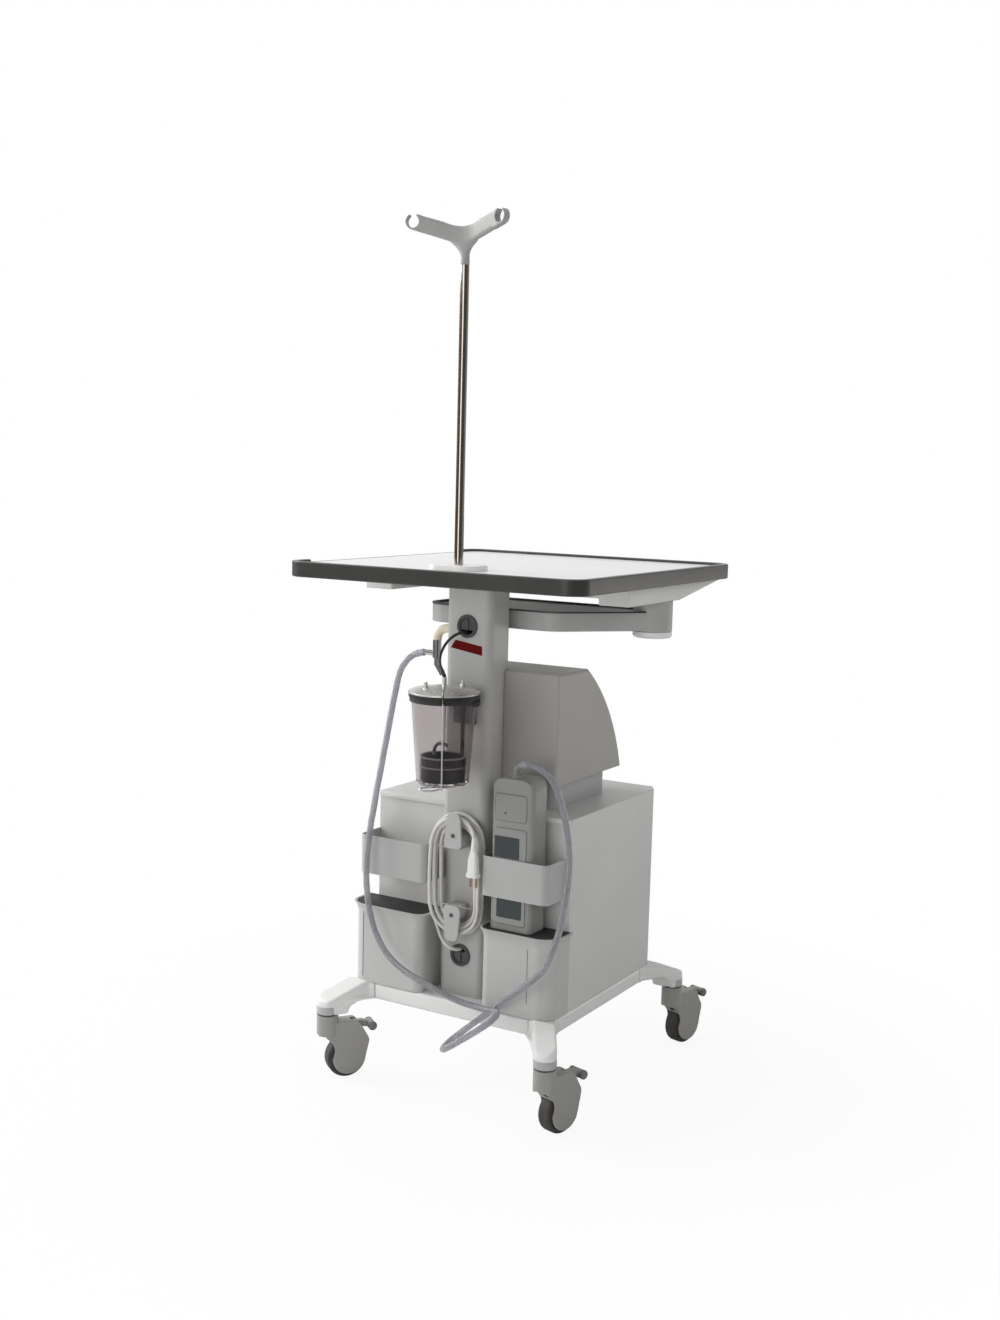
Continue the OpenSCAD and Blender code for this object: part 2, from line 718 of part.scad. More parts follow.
// Caps with a slot for the cord, upwards in the lower grommet and downwards in the upper one
module grommet_caps() color("darkslategray") for (g = [[grommet_lo, 180], [grommet_hi, 0]])
    at_grommet(g[0]) rotate(g[1]) difference() {
        cap_r = grommet_r - 4 - 0.1;
        union() {
            translate([0, 0, -4]) cylinder(r = cap_r, h = 4);
            translate([-2, 4 - cap_r, -eps]) cube([4, 2 * cap_r - 6, 3.5]);
        }
        translate([-cap_r, -cap_r - 1, -5]) cube([2 * cap_r, 9, 9]);
    }

// Cord hook with its seat upwards: a round foot on the column and a tongue that rises in front of it
module hook_shape() {
    foot_h = 30;
    seat_r = hook_w / 2;
    translate([0, column_front - (hook_reach - hook_plate) / 2, 0]) across(hook_reach - hook_plate) {
        translate([0, -seat_r]) circle(seat_r);
        translate([-seat_r, -foot_h]) square([hook_w, foot_h - seat_r]);
    }
    translate([0, column_front - hook_reach + hook_plate / 2, 0]) across(hook_plate)
        belt([[-8, -foot_h + 10, 10], [8, -foot_h + 10, 10], [4, hook_tongue - 10, 10], [-4, hook_tongue - 10, 10]]);
}

module cord_hooks() color("whitesmoke") {
    translate([0, 0, hook_hi]) hook_shape();
    translate([0, 0, hook_lo]) mirror([0, 0, 1]) hook_shape();
}

// Console

module console_plinth() color("lightsteelblue") {
    w = hood_w - 2 * plinth_inset;
    front = column_rear + 6;
    rear = hood_front + hood_foot - plinth_inset;
    translate([hood_side, (front + rear) / 2, cab_top]) difference() {
        linear_extrude(plinth_h) rrect(w, rear - front, 20);
        translate([0, 0, -eps]) linear_extrude(plinth_h - sheet_t + eps)
            rrect(w - 2 * sheet_t, rear - front - 2 * sheet_t, 20 - sheet_t);
    }
}

// Side view of the hood, drawn in by t: upright front, flat top, curved rear
module hood_profile(t) {
    bulge_r = 347;
    rear_top = [hood_top, hood_h];
    rear_foot = [hood_foot, 0];
    chord = rear_foot - rear_top;
    middle = (rear_top + rear_foot) / 2;
    inward = [chord[1], -chord[0]] / norm(chord);
    heart = middle + inward * sqrt(bulge_r * bulge_r - chord * chord / 4);
    intersection() {
        translate([t, t]) square([hood_foot + 20, hood_h - 2 * t]);
        translate(heart) circle(bulge_r - t, $fn = 180);
    }
}

module console_hood() color("gainsboro") difference() {
    translate([hood_side, hood_front, plinth_top]) rotate([90, 0, 90])
        linear_extrude(hood_w, center = true) hood_profile(0);
    translate([hood_side, hood_front, plinth_top]) rotate([90, 0, 90])
        linear_extrude(hood_w - 2 * sheet_t, center = true) hood_profile(sheet_t);
    translate([0, 0, plinth_top - eps]) linear_extrude(hood_h + 2 * eps) column_notch(eps);
}

// Table

module table_plan(t) translate([0, table_y]) rrect(table_w - 2 * t, table_d - 2 * t, table_r - t);

module table_panel() color("white") difference() {
    translate([0, 0, panel_z]) linear_extrude(panel_t) table_plan(edge_t);
    translate([0, pole_y, panel_top - foot_sink]) linear_extrude(foot_sink + eps)
        rrect(foot_w + 2 * gap, foot_d + 2 * gap, 25 + gap);
}

module table_edge() color("dimgray") difference() {
    translate([0, 0, table_z - edge_h]) linear_extrude(edge_h) difference() {
        table_plan(0);
        table_plan(edge_t);
    }
    translate([-table_w / 2 - eps, table_y - table_d / 2 + table_r + lip_return, panel_top])
        cube([edge_t + 2 * eps, table_d - 2 * table_r - 2 * lip_return, lip_h + eps]);
}

// Cast frame: a crossbar behind the column, side arms that taper to the rear and a column head
module table_frame() color("whitesmoke") {
    arm_x = pivot_x + frame_bar / 2 + 7;
    bar_y = column_rear + 2;
    arm_l = table_y + table_d / 2 - edge_t - 10 - bar_y;
    translate([0, column_y, panel_z - frame_plate]) linear_extrude(frame_plate)
        rrect(column_w + 60, column_d + 40, 12);
    translate([-arm_x, bar_y, frame_z + 12]) cube([2 * arm_x, frame_bar, frame_h - 12]);
    for (x = [-1, 1]) translate([x * (arm_x - frame_bar / 2), bar_y, panel_z]) rotate([90, 0, 90])
        linear_extrude(frame_bar * 2, center = true)
            polygon([[0, 0], [0, -frame_h], [pivot_y + tray_hub_r - bar_y, -frame_h],
                [arm_l, -frame_tip], [arm_l, 0]]);
}

// Tray that swings out to the rear

module tray_pan() color("lightgray") difference() {
    union() {
        translate([0, 0, tray_z]) linear_extrude(tray_h) belt(TRAY);
        translate([pivot_x, pivot_y, hub_z]) cylinder(r = tray_hub_r, h = tray_hub_h);
    }
    difference() {
        translate([0, 0, tray_z + tray_t]) linear_extrude(tray_hub_h) belt(shrink(TRAY, tray_t));
        translate([pivot_x, pivot_y, hub_z - eps]) cylinder(r = tray_hub_r, h = tray_hub_h + 2 * eps);
    }
    translate([pivot_x, pivot_y, hub_z - eps]) cylinder(r = post_r + run, h = tray_hub_h + 2 * eps);
    translate([pivot_x, pivot_y, hub_z - eps]) cylinder(r = washer_r + gap, h = washer_t + gap + eps);
}

// The tray's plan less the hub and a margin t
module tray_inside(t) difference() {
    belt(shrink(TRAY, t));
    translate([pivot_x, pivot_y]) circle(tray_hub_r + gap);
}

module tray_rim() color("dimgray") translate([0, 0, tray_top]) linear_extrude(rim_h) difference() {
    tray_inside(-1);
    belt(shrink(TRAY, tray_t + 3));
}

module tray_liner() color("white") translate([0, 0, tray_z + tray_t]) linear_extrude(2) tray_inside(tray_t + 4);

module tray_cap() color("whitesmoke") translate([pivot_x, pivot_y, hub_z]) mirror([0, 0, 1]) rotate_extrude() {
    lip_r = 6;
    square([tray_hub_r - lip_r, 12]);
    square([tray_hub_r, 12 - lip_r]);
    translate([tray_hub_r - lip_r, 12 - lip_r]) circle(lip_r);
}

module tray_post() color("silver") translate([pivot_x, pivot_y, 0]) {
    translate([0, 0, hub_z + gap / 2]) cylinder(r = washer_r, h = washer_t - gap / 2);
    translate([0, 0, hub_z + gap / 2]) cylinder(r = post_r, h = frame_z - hub_z - gap / 2);
}

// Hose stand

module pole_foot() color("whitesmoke") translate([0, pole_y, panel_top - foot_sink]) difference() {
    linear_extrude(foot_t + foot_sink) rrect(foot_w, foot_d, 25);
    translate([0, 0, -eps]) cylinder(r = pole_r, h = foot_t + foot_sink + 2 * eps);
}

module pole() color("silver") translate([0, pole_y, panel_top - foot_sink]) difference() {
    cylinder(r = pole_r, h = pole_top - panel_top + foot_sink);
    translate([0, 0, foot_t]) cylinder(r = pole_r - pole_t, h = pole_top - panel_top + foot_sink);
}

// One arm of the head, from the pole's axis towards +X, with its slotted ring
module head_arm() difference() {
    across(arm_t) belt([[0, head_z, head_r], [arm_l, ring_z, ring_r + ring_t], [6, head_z + 3, head_r]]);
    translate([arm_l, 0, ring_z]) rotate([90, 0, 0]) cylinder(r = ring_r, h = 2 * arm_t, center = true);
    translate([arm_l - ring_slot / 2, -arm_t, ring_z]) cube([ring_slot, 2 * arm_t, 2 * ring_r]);
}

module hose_head() color("lightgray") translate([0, pole_y, 0]) {
    throat_r = 12;
    rotate(-arm_sweep) head_arm();
    rotate(180 + arm_sweep) head_arm();
    translate([0, 0, pole_top]) cylinder(r = pole_r, h = head_z - pole_top);
    translate([0, 0, pole_top - spigot_l]) cylinder(r = pole_r - pole_t - 0.1, h = spigot_l + eps);
    translate([0, 0, head_z - head_r - throat_r]) rotate_extrude() difference() {
        square([pole_r + throat_r, throat_r + 4]);
        translate([pole_r + throat_r, 0]) circle(throat_r);
        translate([pole_r + throat_r / 2, -eps]) square([throat_r, throat_r + 6]);
    }
}

// Suction jar

module at_jar() translate([0, jar_y, 0]) children();

module jar() color("thistle", 0.5) at_jar() translate([0, 0, jar_z]) rotate_extrude() difference() {
    polygon([[0, 0], [jar_foot_r - 5, 0], [jar_foot_r, 5], [jar_mouth_r, jar_h], [flange_r, jar_h],
        [flange_r, jar_h + flange_t], [0, jar_h + flange_t]]);
    polygon([[0, jar_t], [jar_foot_r - 5 - jar_t, jar_t], [jar_foot_r - jar_t, 5 + jar_t],
        [jar_mouth_r - jar_t, jar_h], [jar_mouth_r - jar_t, jar_h + flange_t + eps],
        [0, jar_h + flange_t + eps]]);
}

module jar_seal() color("black") at_jar() translate([0, 0, jar_top + flange_t]) rotate_extrude()
    translate([jar_mouth_r - jar_t - 2, 0]) square([lid_r - 1 - jar_mouth_r + jar_t + 2, seal_t]);

module jar_lid() color("silver") at_jar() translate([0, 0, lid_z]) {
    rotate_extrude() {
        square([lid_r, 3]);
        polygon([[0, 0], [lid_r - 2, 3], [lid_r - 9, lid_t], [0, lid_top - lid_z]]);
    }
    translate([0, 0, lid_t]) cylinder(r = nipple_r, h = lid_top - lid_z - lid_t + nipple_h);
    for (a = [55, 235]) rotate(a) translate([lid_r * 0.55, 0, lid_t - 2]) {
        cylinder(r = 5, h = 9);
        cylinder(r = 3, h = 15);
    }
}

// Overflow float: a cup near the foot of the jar, hung from the lid by its dip tube
module jar_float() color("black") at_jar() {
    cup_r = jar_foot_r - jar_t - 4;
    cup_z = jar_z + 7;
    cup_h = 42;
    tube_at = [cup_r - 6, 0];
    translate([0, 0, cup_z]) difference() {
        cylinder(r = cup_r, h = cup_h);
        translate([0, 0, 3]) cylinder(r = cup_r - 3, h = cup_h);
    }
    rotate(31) translate([tube_at[0], 0, cup_z + 1]) cylinder(r = 3.5, h = lid_z - cup_z - 1);
}

// Wire bail that clasps lid and jar, with the pull loop under the jar
module jar_bail() color("silver") at_jar() rotate(bail_turn) {
    off = bail_r + gap;
    low = jar_z - off - 0.5;
    side = lid_r + off;
    foot = jar_foot_r + off;
    half = [[0, -nipple_r - off, lid_top + off + 1], [0, -lid_r / 2, lid_z + lid_t + off + 5],
        [0, 9 - lid_r, lid_z + lid_t + off + 2], [0, 1 - side, lid_z + lid_t + 1], [0, -side - 1, lid_z + 1],
        [0, -side, jar_top - 16], [0, -foot - 2, jar_z + 14], [0, -foot - 1, jar_z + 5],
        [0, 2 - foot, low], [0, 14 - foot, low - 0.5], [0, -foot / 3, low]];
    other = [for (i = [len(half) - 1 : -1 : 0]) [0, -half[i][1], half[i][2]]];
    sweep(concat(half, other), bail_r, 63, 8);
    sweep([[0, -26, low - 0.5], [-4, -22, low - 4], [-16, -20, low - 8], [-30, -16, low - 9], [-40, -8, low - 8],
        [-36, 0, low - 7], [-22, -2, low - 5], [-6, -6, low - 3], [0, -8, low - 0.2]], bail_r, 30, 8);
}

// Bracket on the column: a plate and a half ring that carries the jar's flange
module jar_bracket() color("black") {
    plate_t = 5;
    plate_w = 44;
    ring_h = 8;
    ring_in = jar_mouth_r + 1;
    translate([-plate_w / 2, column_front - plate_t, jar_top - 52]) cube([plate_w, plate_t, 52 - gap]);
    translate([0, jar_y, jar_top - gap - ring_h]) linear_extrude(ring_h) difference() {
        union() {
            intersection() {
                circle(ring_in + 5);
                translate([-lid_r, 0]) square([2 * lid_r, lid_r]);
            }
            translate([-plate_w / 2, ring_in - 12]) square([plate_w, column_front - plate_t - jar_y - ring_in + 12]);
        }
        circle(ring_in);
    }
}

// Suction fittings

// Soft elbow from the column's side to the top of the tee
module suction_elbow() color("cornsilk") {
    bend = 22;
    drop = elbow_z - bend - tee[2] - tee_h;
    out = tee[0] + bend;
    translate([out, tee[1], elbow_z]) rotate([0, 90, 0]) difference() {
        cylinder(r = elbow_r - 0.1, h = -column_w / 2 + column_t - out);
        translate([0, 0, -eps]) cylinder(r = elbow_r - elbow_t, h = column_w);
    }
    translate([out, tee[1], elbow_z - bend]) rotate([90, 0, 0]) rotate([0, 0, 90]) rotate_extrude(angle = 90)
        translate([bend, 0]) difference() {
            circle(elbow_r - 0.1);
            circle(elbow_r - elbow_t);
        }
    translate([tee[0], tee[1], tee[2] + tee_h]) difference() {
        cylinder(r = elbow_r - 0.1, h = drop);
        translate([0, 0, -eps]) cylinder(r = elbow_r - elbow_t, h = drop + 2 * eps);
    }
}

// Metal tee: body, hose barb to the left and a small lever tap below
module suction_tee() color("silver") translate(tee) {
    cylinder(r = tee_r, h = tee_h);
    translate([0, 0, -14]) cylinder(r = 5, h = 15);
    translate([-barb_l, 0, barb_z]) rotate([0, 90, 0]) cylinder(r = barb_r, h = barb_l);
    translate([0, 0, -10]) rotate([0, -35, 0]) translate([-4, -4, -24]) cube([5, 8, 24]);
}

// Pump

module pump_body() color("white") {
    crown = 22;
    translate([pump_x, pump_front + pump_d / 2, mat_top]) intersection() {
        linear_extrude(pump_h) rrect(pump_w, pump_d, pump_r);
        rotate([90, 0, 0]) linear_extrude(2 * pump_d, center = true) {
            translate([-pump_w / 2, 0]) square([pump_w, pump_h - crown]);
            translate([crown - pump_w / 2, 0]) square([pump_w - 2 * crown, pump_h]);
            for (x = [-1, 1]) translate([x * (pump_w / 2 - crown), pump_h - crown]) circle(crown);
        }
    }
    pump_raised(pump_h - 75, 48, pump_w - 20);
    pump_raised(12, pump_h - 100, pump_w - 18);
    translate([nozzle[0], nozzle[1], pump_top - eps]) {
        cylinder(r = nozzle_r + 4, h = 5);
        cylinder(r = nozzle_r, h = nozzle_h);
        translate([0, 0, nozzle_h]) sphere(nozzle_r + 0.5);
        translate([0, 0, nozzle_h]) rotate([0, 60, -13]) cylinder(r = nozzle_r - 1, h = 14);
    }
}

// Raised field on the pump's face, from height z
module pump_raised(z, h, w) translate([pump_x - 2, pump_front, mat_top + z + h / 2]) rotate([90, 0, 0])
    translate([0, 0, -eps]) linear_extrude(eps + 2) rrect(w, h, 6);

module pump_screens() color("black") for (at = [[-1, 24], [-8, 132]])
    translate([pump_x + at[0], pump_front - 2, mat_top + at[1] + 19])
        rotate([90, 0, 0]) linear_extrude(0.8) rrect(50, 38, 2);

// Cords

module suction_hose() color("lightsteelblue") sweep(HOSE, hose_r, 126, 10);
module thin_cable() color("black") sweep(CABLE, cable_r, 12, 8);
module mains_lead() color("ivory") sweep(LEAD, lead_r, 8, 8);

// The wound lead: a ring with round ends that hangs on the upper hook
module mains_hank() color("ivory") {
    inside = hook_hi - hook_lo + 2 * gap;
    translate([0, hank_back - hank_d / 2, (hook_hi + hook_lo) / 2]) across(hank_d) difference() {
        hank_outline(hank_in + hank_t, inside + 2 * hank_end);
        hank_outline(hank_in, inside);
    }
}

// The lead's plug, tucked against the hank with its pins down
module mains_plug() color("white") translate(plug_at) {
    pin_r = 2.4;
    pin_l = 19;
    translate([0, 0, -plug[2] / 2]) linear_extrude(plug[2]) rrect(plug[0], plug[1], 7);
    translate([0, 0, plug[2] / 2 - eps]) cylinder(r = 5, h = 14);
    for (x = [-1, 1]) translate([x * 6, 0, -plug[2] / 2 - pin_l]) cylinder(r = pin_r, h = pin_l + eps);
}

// Upright outline of height h with round ends of radius r
module hank_outline(r, h) {
    square([2 * r, h - 2 * r], center = true);
    for (z = [-1, 1]) translate([0, z * (h / 2 - r)]) circle(r);
}

base_frame();
cabinet_shell();
rear_panel();
step_left();
step_right();
step_mats();
strap_left();
strap_right();
column();
cable_grommets();
grommet_caps();
cord_hooks();
console_plinth();
console_hood();
table_panel();
table_edge();
table_frame();
tray_pan();
tray_rim();
tray_liner();
tray_cap();
tray_post();
pole_foot();
pole();
hose_head();
jar();
jar_lid();
jar_seal();
jar_float();
jar_bail();
jar_bracket();
suction_elbow();
suction_tee();
pump_body();
pump_screens();
suction_hose();
thin_cable();
mains_lead();
mains_hank();
mains_plug();
for (c = CASTERS) {
    leg(c);
    caster_hood(c);
    wheel_hub(c);
    wheel_tyre(c);
    brake_pedal(c);
}
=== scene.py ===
"""Looks of the mobile suction cart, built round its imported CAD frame.

Lengths are in metres in the frame's own axes, apart from those that are said to be in millimetres.
X runs to the right of the cart as seen from its front, -Y to the front and Z up. The origin lies on
the floor.
"""

from __future__ import annotations

import json
import logging
import math
from collections.abc import Callable, Iterable, Sequence
from dataclasses import dataclass, field
from enum import Enum

import bmesh
import bpy
from mathutils import Matrix, Vector

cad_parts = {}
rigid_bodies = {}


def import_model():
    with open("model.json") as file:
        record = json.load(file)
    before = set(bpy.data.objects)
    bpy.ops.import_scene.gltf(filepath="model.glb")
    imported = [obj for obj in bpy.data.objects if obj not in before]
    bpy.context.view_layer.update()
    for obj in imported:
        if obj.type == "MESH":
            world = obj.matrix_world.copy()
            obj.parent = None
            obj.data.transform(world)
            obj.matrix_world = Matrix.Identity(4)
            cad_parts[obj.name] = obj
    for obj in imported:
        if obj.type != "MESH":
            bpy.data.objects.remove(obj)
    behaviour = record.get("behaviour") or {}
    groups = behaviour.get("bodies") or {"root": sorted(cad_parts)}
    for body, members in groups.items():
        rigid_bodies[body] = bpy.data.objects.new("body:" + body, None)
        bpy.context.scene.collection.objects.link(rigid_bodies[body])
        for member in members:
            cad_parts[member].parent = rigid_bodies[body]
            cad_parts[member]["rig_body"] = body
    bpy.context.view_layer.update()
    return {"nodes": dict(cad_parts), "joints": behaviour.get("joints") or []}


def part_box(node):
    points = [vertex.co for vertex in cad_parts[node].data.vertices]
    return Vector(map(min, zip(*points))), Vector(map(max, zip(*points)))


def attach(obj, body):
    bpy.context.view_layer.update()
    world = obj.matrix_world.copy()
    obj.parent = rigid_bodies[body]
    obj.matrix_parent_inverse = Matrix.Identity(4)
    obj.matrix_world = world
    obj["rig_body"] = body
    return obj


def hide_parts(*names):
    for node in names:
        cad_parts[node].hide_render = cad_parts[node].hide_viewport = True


LOG = logging.getLogger("suction_cart")
GROOVE = "groove"
MM = 0.001

Colour = tuple[float, float, float]
Point = tuple[float, float, float]


def mm(*values: float) -> Vector:
    """Returns a point given in millimetres as a vector in metres."""
    return Vector(values) * MM


class Body(str, Enum):
    """The bodies of the cart that new pieces ride on."""

    CART = "cart"
    TRAY = "tray"


class Corner(str, Enum):
    """The four corners of the cart, each with a leg and a caster."""

    FRONT_LEFT = "front_left"
    FRONT_RIGHT = "front_right"
    REAR_LEFT = "rear_left"
    REAR_RIGHT = "rear_right"


# Finishes


class Board:
    """A node tree, with the few steps that every finish and the backdrop take."""

    def __init__(self, tree: bpy.types.NodeTree) -> None:
        """Takes up a tree.

        Args:
            tree: The tree to work on.
        """
        self.tree = tree

    def node(self, kind: str, inputs: dict[str | int, object] | None = None,
             **settings: object) -> bpy.types.Node:
        """Adds a node.

        Args:
            kind: The node's type name.
            inputs: Values or sockets for its inputs, by input name or place.
            settings: Values for the node's own settings.

        Returns:
            The new node.
        """
        made = self.tree.nodes.new(kind)
        for name, value in settings.items():
            setattr(made, name, value)
        for name, value in (inputs or {}).items():
            self.give(made.inputs[name], value)
        return made

    def give(self, socket: bpy.types.NodeSocket, value: object) -> None:
        """Links an input to a socket, or sets the input's own value.

        Args:
            socket: The input.
            value: The socket to link it to, or its value.
        """
        if isinstance(value, bpy.types.NodeSocket):
            self.tree.links.new(value, socket)
        else:
            socket.default_value = value

    def largest(self, *values: bpy.types.NodeSocket) -> bpy.types.NodeSocket:
        """Finds the largest of some values.

        Args:
            values: The sockets with the values.

        Returns:
            The socket with the largest.
        """
        found = values[0]
        for value in values[1:]:
            made = self.node("ShaderNodeMath", {0: found, 1: value}, operation="MAXIMUM")
            found = made.outputs[0]
        return found

    def mixed(self, share: bpy.types.NodeSocket, first: bpy.types.Node,
              second: bpy.types.Node) -> bpy.types.NodeSocket:
        """Mixes two shaders.

        Args:
            share: The share of the second shader.
            first: A shader node.
            second: A shader node.

        Returns:
            The socket with the mixed shader.
        """
        inputs = {0: share, 1: first.outputs[0], 2: second.outputs[0]}
        return self.node("ShaderNodeMixShader", inputs).outputs[0]


class Bench(Board):
    """A material's node tree, with one Principled shader."""

    def __init__(self, name: str) -> None:
        """Starts a material.

        Args:
            name: The material's name.
        """
        self.material = bpy.data.materials.new(name)
        self.material.use_nodes = True
        super().__init__(self.material.node_tree)
        self.shader = next(n for n in self.tree.nodes if n.type == "BSDF_PRINCIPLED")
        self.output = next(n for n in self.tree.nodes if n.type == "OUTPUT_MATERIAL")
        self.place = self.tree.nodes.new("ShaderNodeTexCoord").outputs["Object"]

    def noise(self, size: float, stretch: Point = (1, 1, 1),
              detail: float = 3.0) -> bpy.types.NodeSocket:
        """Noise on object coordinates.

        Args:
            size: The width of a typical patch.
            stretch: How many times finer the patches are along each axis.
            detail: Octaves of finer noise.

        Returns:
            The socket with the noise value.
        """
        spot = self.node("ShaderNodeMapping", {"Vector": self.place, "Scale": stretch}).outputs[0]
        inputs = {"Vector": spot, "Scale": 1 / size, "Detail": detail}
        return self.node("ShaderNodeTexNoise", inputs).outputs[0]

    def span(self, value: bpy.types.NodeSocket, low: float, high: float,
             start: float = 0.3, end: float = 0.7) -> bpy.types.NodeSocket:
        """Maps a value from start..end to low..high.

        Args:
            value: The socket to map.
            low: The result at start.
            high: The result at end.
            start: The value that gives low.
            end: The value that gives high.

        Returns:
            The socket with the mapped value.
        """
        made = self.node("ShaderNodeMapRange", {
            "Value": value, "From Min": start, "From Max": end, "To Min": low, "To Max": high})
        return made.outputs["Result"]

    def blend(self, share: bpy.types.NodeSocket, first: object,
              second: object) -> bpy.types.NodeSocket:
        """Mixes two colours.

        Args:
            share: The share of the second colour.
            first: A colour or a colour socket.
            second: A colour or a colour socket.

        Returns:
            The socket with the mixed colour.
        """
        made = self.node("ShaderNodeMix", data_type="RGBA")
        for place, value in ((0, share), (6, first), (7, second)):
            self.give(made.inputs[place], (*value, 1.0) if isinstance(value, tuple) else value)
        return made.outputs[2]

    def relief(self, height: bpy.types.NodeSocket, depth: float) -> bpy.types.NodeSocket:
        """Turns a height into a bumped normal.

        Args:
            height: The socket with heights from 0 to 1.
            depth: The depth of the relief.

        Returns:
            The socket with the normal.
        """
        inputs = {"Height": height, "Distance": depth, "Strength": 1.0}
        return self.node("ShaderNodeBump", inputs).outputs["Normal"]

    def set(self, **values: object) -> None:
        """Sets inputs of the shader; an underscore in a name stands for a space."""
        for name, value in values.items():
            self.give(self.shader.inputs[name.replace("_", " ")], value)


def tinted(colour: Colour, share: float) -> Colour:
    """Returns the colour made lighter by that share, or darker where the share is below 0."""
    return tuple(min(1.0, max(0.0, part * (1 + share))) for part in colour)


@dataclass(frozen=True)
class Coating:
    """A painted, moulded or rubber surface: uneven colour and gloss, and a fine skin.

    Attributes:
        name: The material's name.
        colour: Its colour.
        roughness: Its usual roughness.
        mottle: The share by which the colour varies.
        mottle_size: The width of the patches of colour.
        gloss_swing: How far the roughness varies.
        skin_size: The width of the grain or orange peel.
        skin_depth: The depth of the grain or orange peel.
        soil: The share by which hand marks and dust darken the surface in places.
        shine: The shader's specular level.
    """

    name: str
    colour: Colour
    roughness: float
    mottle: float = 0.03
    mottle_size: float = 0.15
    gloss_swing: float = 0.03
    skin_size: float = 0.0016
    skin_depth: float = 0.000008
    soil: float = 0.0
    shine: float = 0.5

    def material(self) -> bpy.types.Material:
        """Builds the material.

        Returns:
            The material.
        """
        bench = Bench(self.name)
        patches = bench.span(bench.noise(self.mottle_size), 0, 1)
        pale, dark = tinted(self.colour, self.mottle), tinted(self.colour, -self.mottle)
        colour = bench.blend(patches, dark, pale)
        if self.soil:
            smears = bench.span(bench.noise(0.05, (1, 1, 0.35), 6), 0, self.soil, 0.52, 0.8)
            colour = bench.blend(smears, colour, tinted(self.colour, -0.45))
        gloss = bench.span(
            bench.noise(self.mottle_size / 4, detail=5),
            self.roughness - self.gloss_swing, self.roughness + self.gloss_swing)
        skin = bench.relief(bench.noise(self.skin_size, detail=2), self.skin_depth)
        bench.set(Base_Color=colour, Roughness=gloss, Normal=skin, Specular_IOR_Level=self.shine)
        return bench.material


@dataclass(frozen=True)
class BrushedMetal:
    """Bare metal with fine lines along one axis.

    Attributes:
        name: The material's name.
        colour: Its colour.
        roughness: Its usual roughness.
        lines: How many times finer the lines are along each axis.
        depth: The depth of the lines.
    """

    name: str
    colour: Colour
    roughness: float
    lines: Point = (1, 1, 0.02)
    depth: float = 0.000004

    def material(self) -> bpy.types.Material:
        """Builds the material.

        Returns:
            The material.
        """
        bench = Bench(self.name)
        lines = bench.noise(0.0012, self.lines, 4)
        stains = bench.span(bench.noise(0.06, detail=5), 0, 1, 0.35, 0.75)
        colour = bench.blend(stains, self.colour, tinted(self.colour, -0.12))
        gloss = bench.span(lines, self.roughness * 0.7, self.roughness * 1.4)
        relief = bench.relief(lines, self.depth)
        bench.set(Base_Color=colour, Roughness=gloss, Metallic=1.0, Normal=relief)
        return bench.material


@dataclass(frozen=True)
class ClearPlastic:
    """A see-through plastic that lets the lamps through.

    Attributes:
        name: The material's name.
        colour: The tint of light that has passed it.
        roughness: Its usual roughness.
        clarity: The share of light that passes.
        index: Its index of refraction.
        haze_size: The width of the faint cloudy patches.
    """

    name: str
    colour: Colour
    roughness: float
    clarity: float = 1.0
    index: float = 1.46
    haze_size: float = 0.03

    def material(self) -> bpy.types.Material:
        """Builds the material.

        Returns:
            The material.
        """
        bench = Bench(self.name)
        haze = bench.noise(self.haze_size, (1, 1, 0.4), 5)
        gloss = bench.span(haze, self.roughness * 0.6, self.roughness * 1.8)
        colour = bench.blend(bench.span(haze, 0, 1), self.colour, tinted(self.colour, -0.06))
        bench.set(
            Base_Color=colour, Roughness=gloss, Transmission_Weight=self.clarity, IOR=self.index)
        lamp_ray = bench.node("ShaderNodeLightPath").outputs["Is Shadow Ray"]
        through = bench.node("ShaderNodeBsdfTransparent", {"Color": (*self.colour, 1.0)})
        bench.give(bench.output.inputs["Surface"], bench.mixed(lamp_ray, bench.shader, through))
        return bench.material


@dataclass(frozen=True)
class RibbedRubber:
    """Black mat rubber with fine moulded pips.

    Attributes:
        name: The material's name.
        colour: Its colour.
        pip: The spacing of the pips.
    """

    name: str
    colour: Colour
    pip: float = 0.0028

    def material(self) -> bpy.types.Material:
        """Builds the material.

        Returns:
            The material.
        """
        bench = Bench(self.name)
        dust = bench.span(bench.noise(0.04, detail=6), 0, 0.5, 0.45, 0.8)
        colour = bench.blend(dust, self.colour, tinted(self.colour, 0.7))
        cells = bench.node("ShaderNodeTexVoronoi", {
            "Vector": bench.place, "Scale": 1 / self.pip, "Randomness": 0.15})
        pips = bench.span(cells.outputs["Distance"], 1, 0, 0.1, 0.6)
        bench.set(
            Base_Color=colour, Roughness=bench.span(dust, 0.62, 0.8, 0, 0.5),
            Normal=bench.relief(pips, 0.00012))
        return bench.material


@dataclass(frozen=True)
class RibbedClear:
    """The hose's milky clear plastic, painted darker in its grooves as painted shade, where the
    wall is seen on edge.

    Attributes:
        name: The material's name.
        crest: The colour of the ribs.
        groove: The colour between the ribs, which is painted shade.
    """

    name: str
    crest: Colour
    groove: Colour

    def material(self) -> bpy.types.Material:
        """Builds the material.

        Returns:
            The material.
        """
        bench = Bench(self.name)
        depth = bench.node("ShaderNodeAttribute", attribute_name=GROOVE).outputs["Fac"]
        haze = bench.noise(0.03, detail=5)
        rib = bench.blend(bench.span(haze, 0, 1), self.crest, tinted(self.crest, -0.14))
        # The grooves get the darker colour, as painted shade.
        colour = bench.blend(depth, rib, self.groove)
        bench.set(
            Base_Color=colour, Roughness=bench.span(haze, 0.12, 0.26), Transmission_Weight=0.82,
            IOR=1.3)
        return bench.material


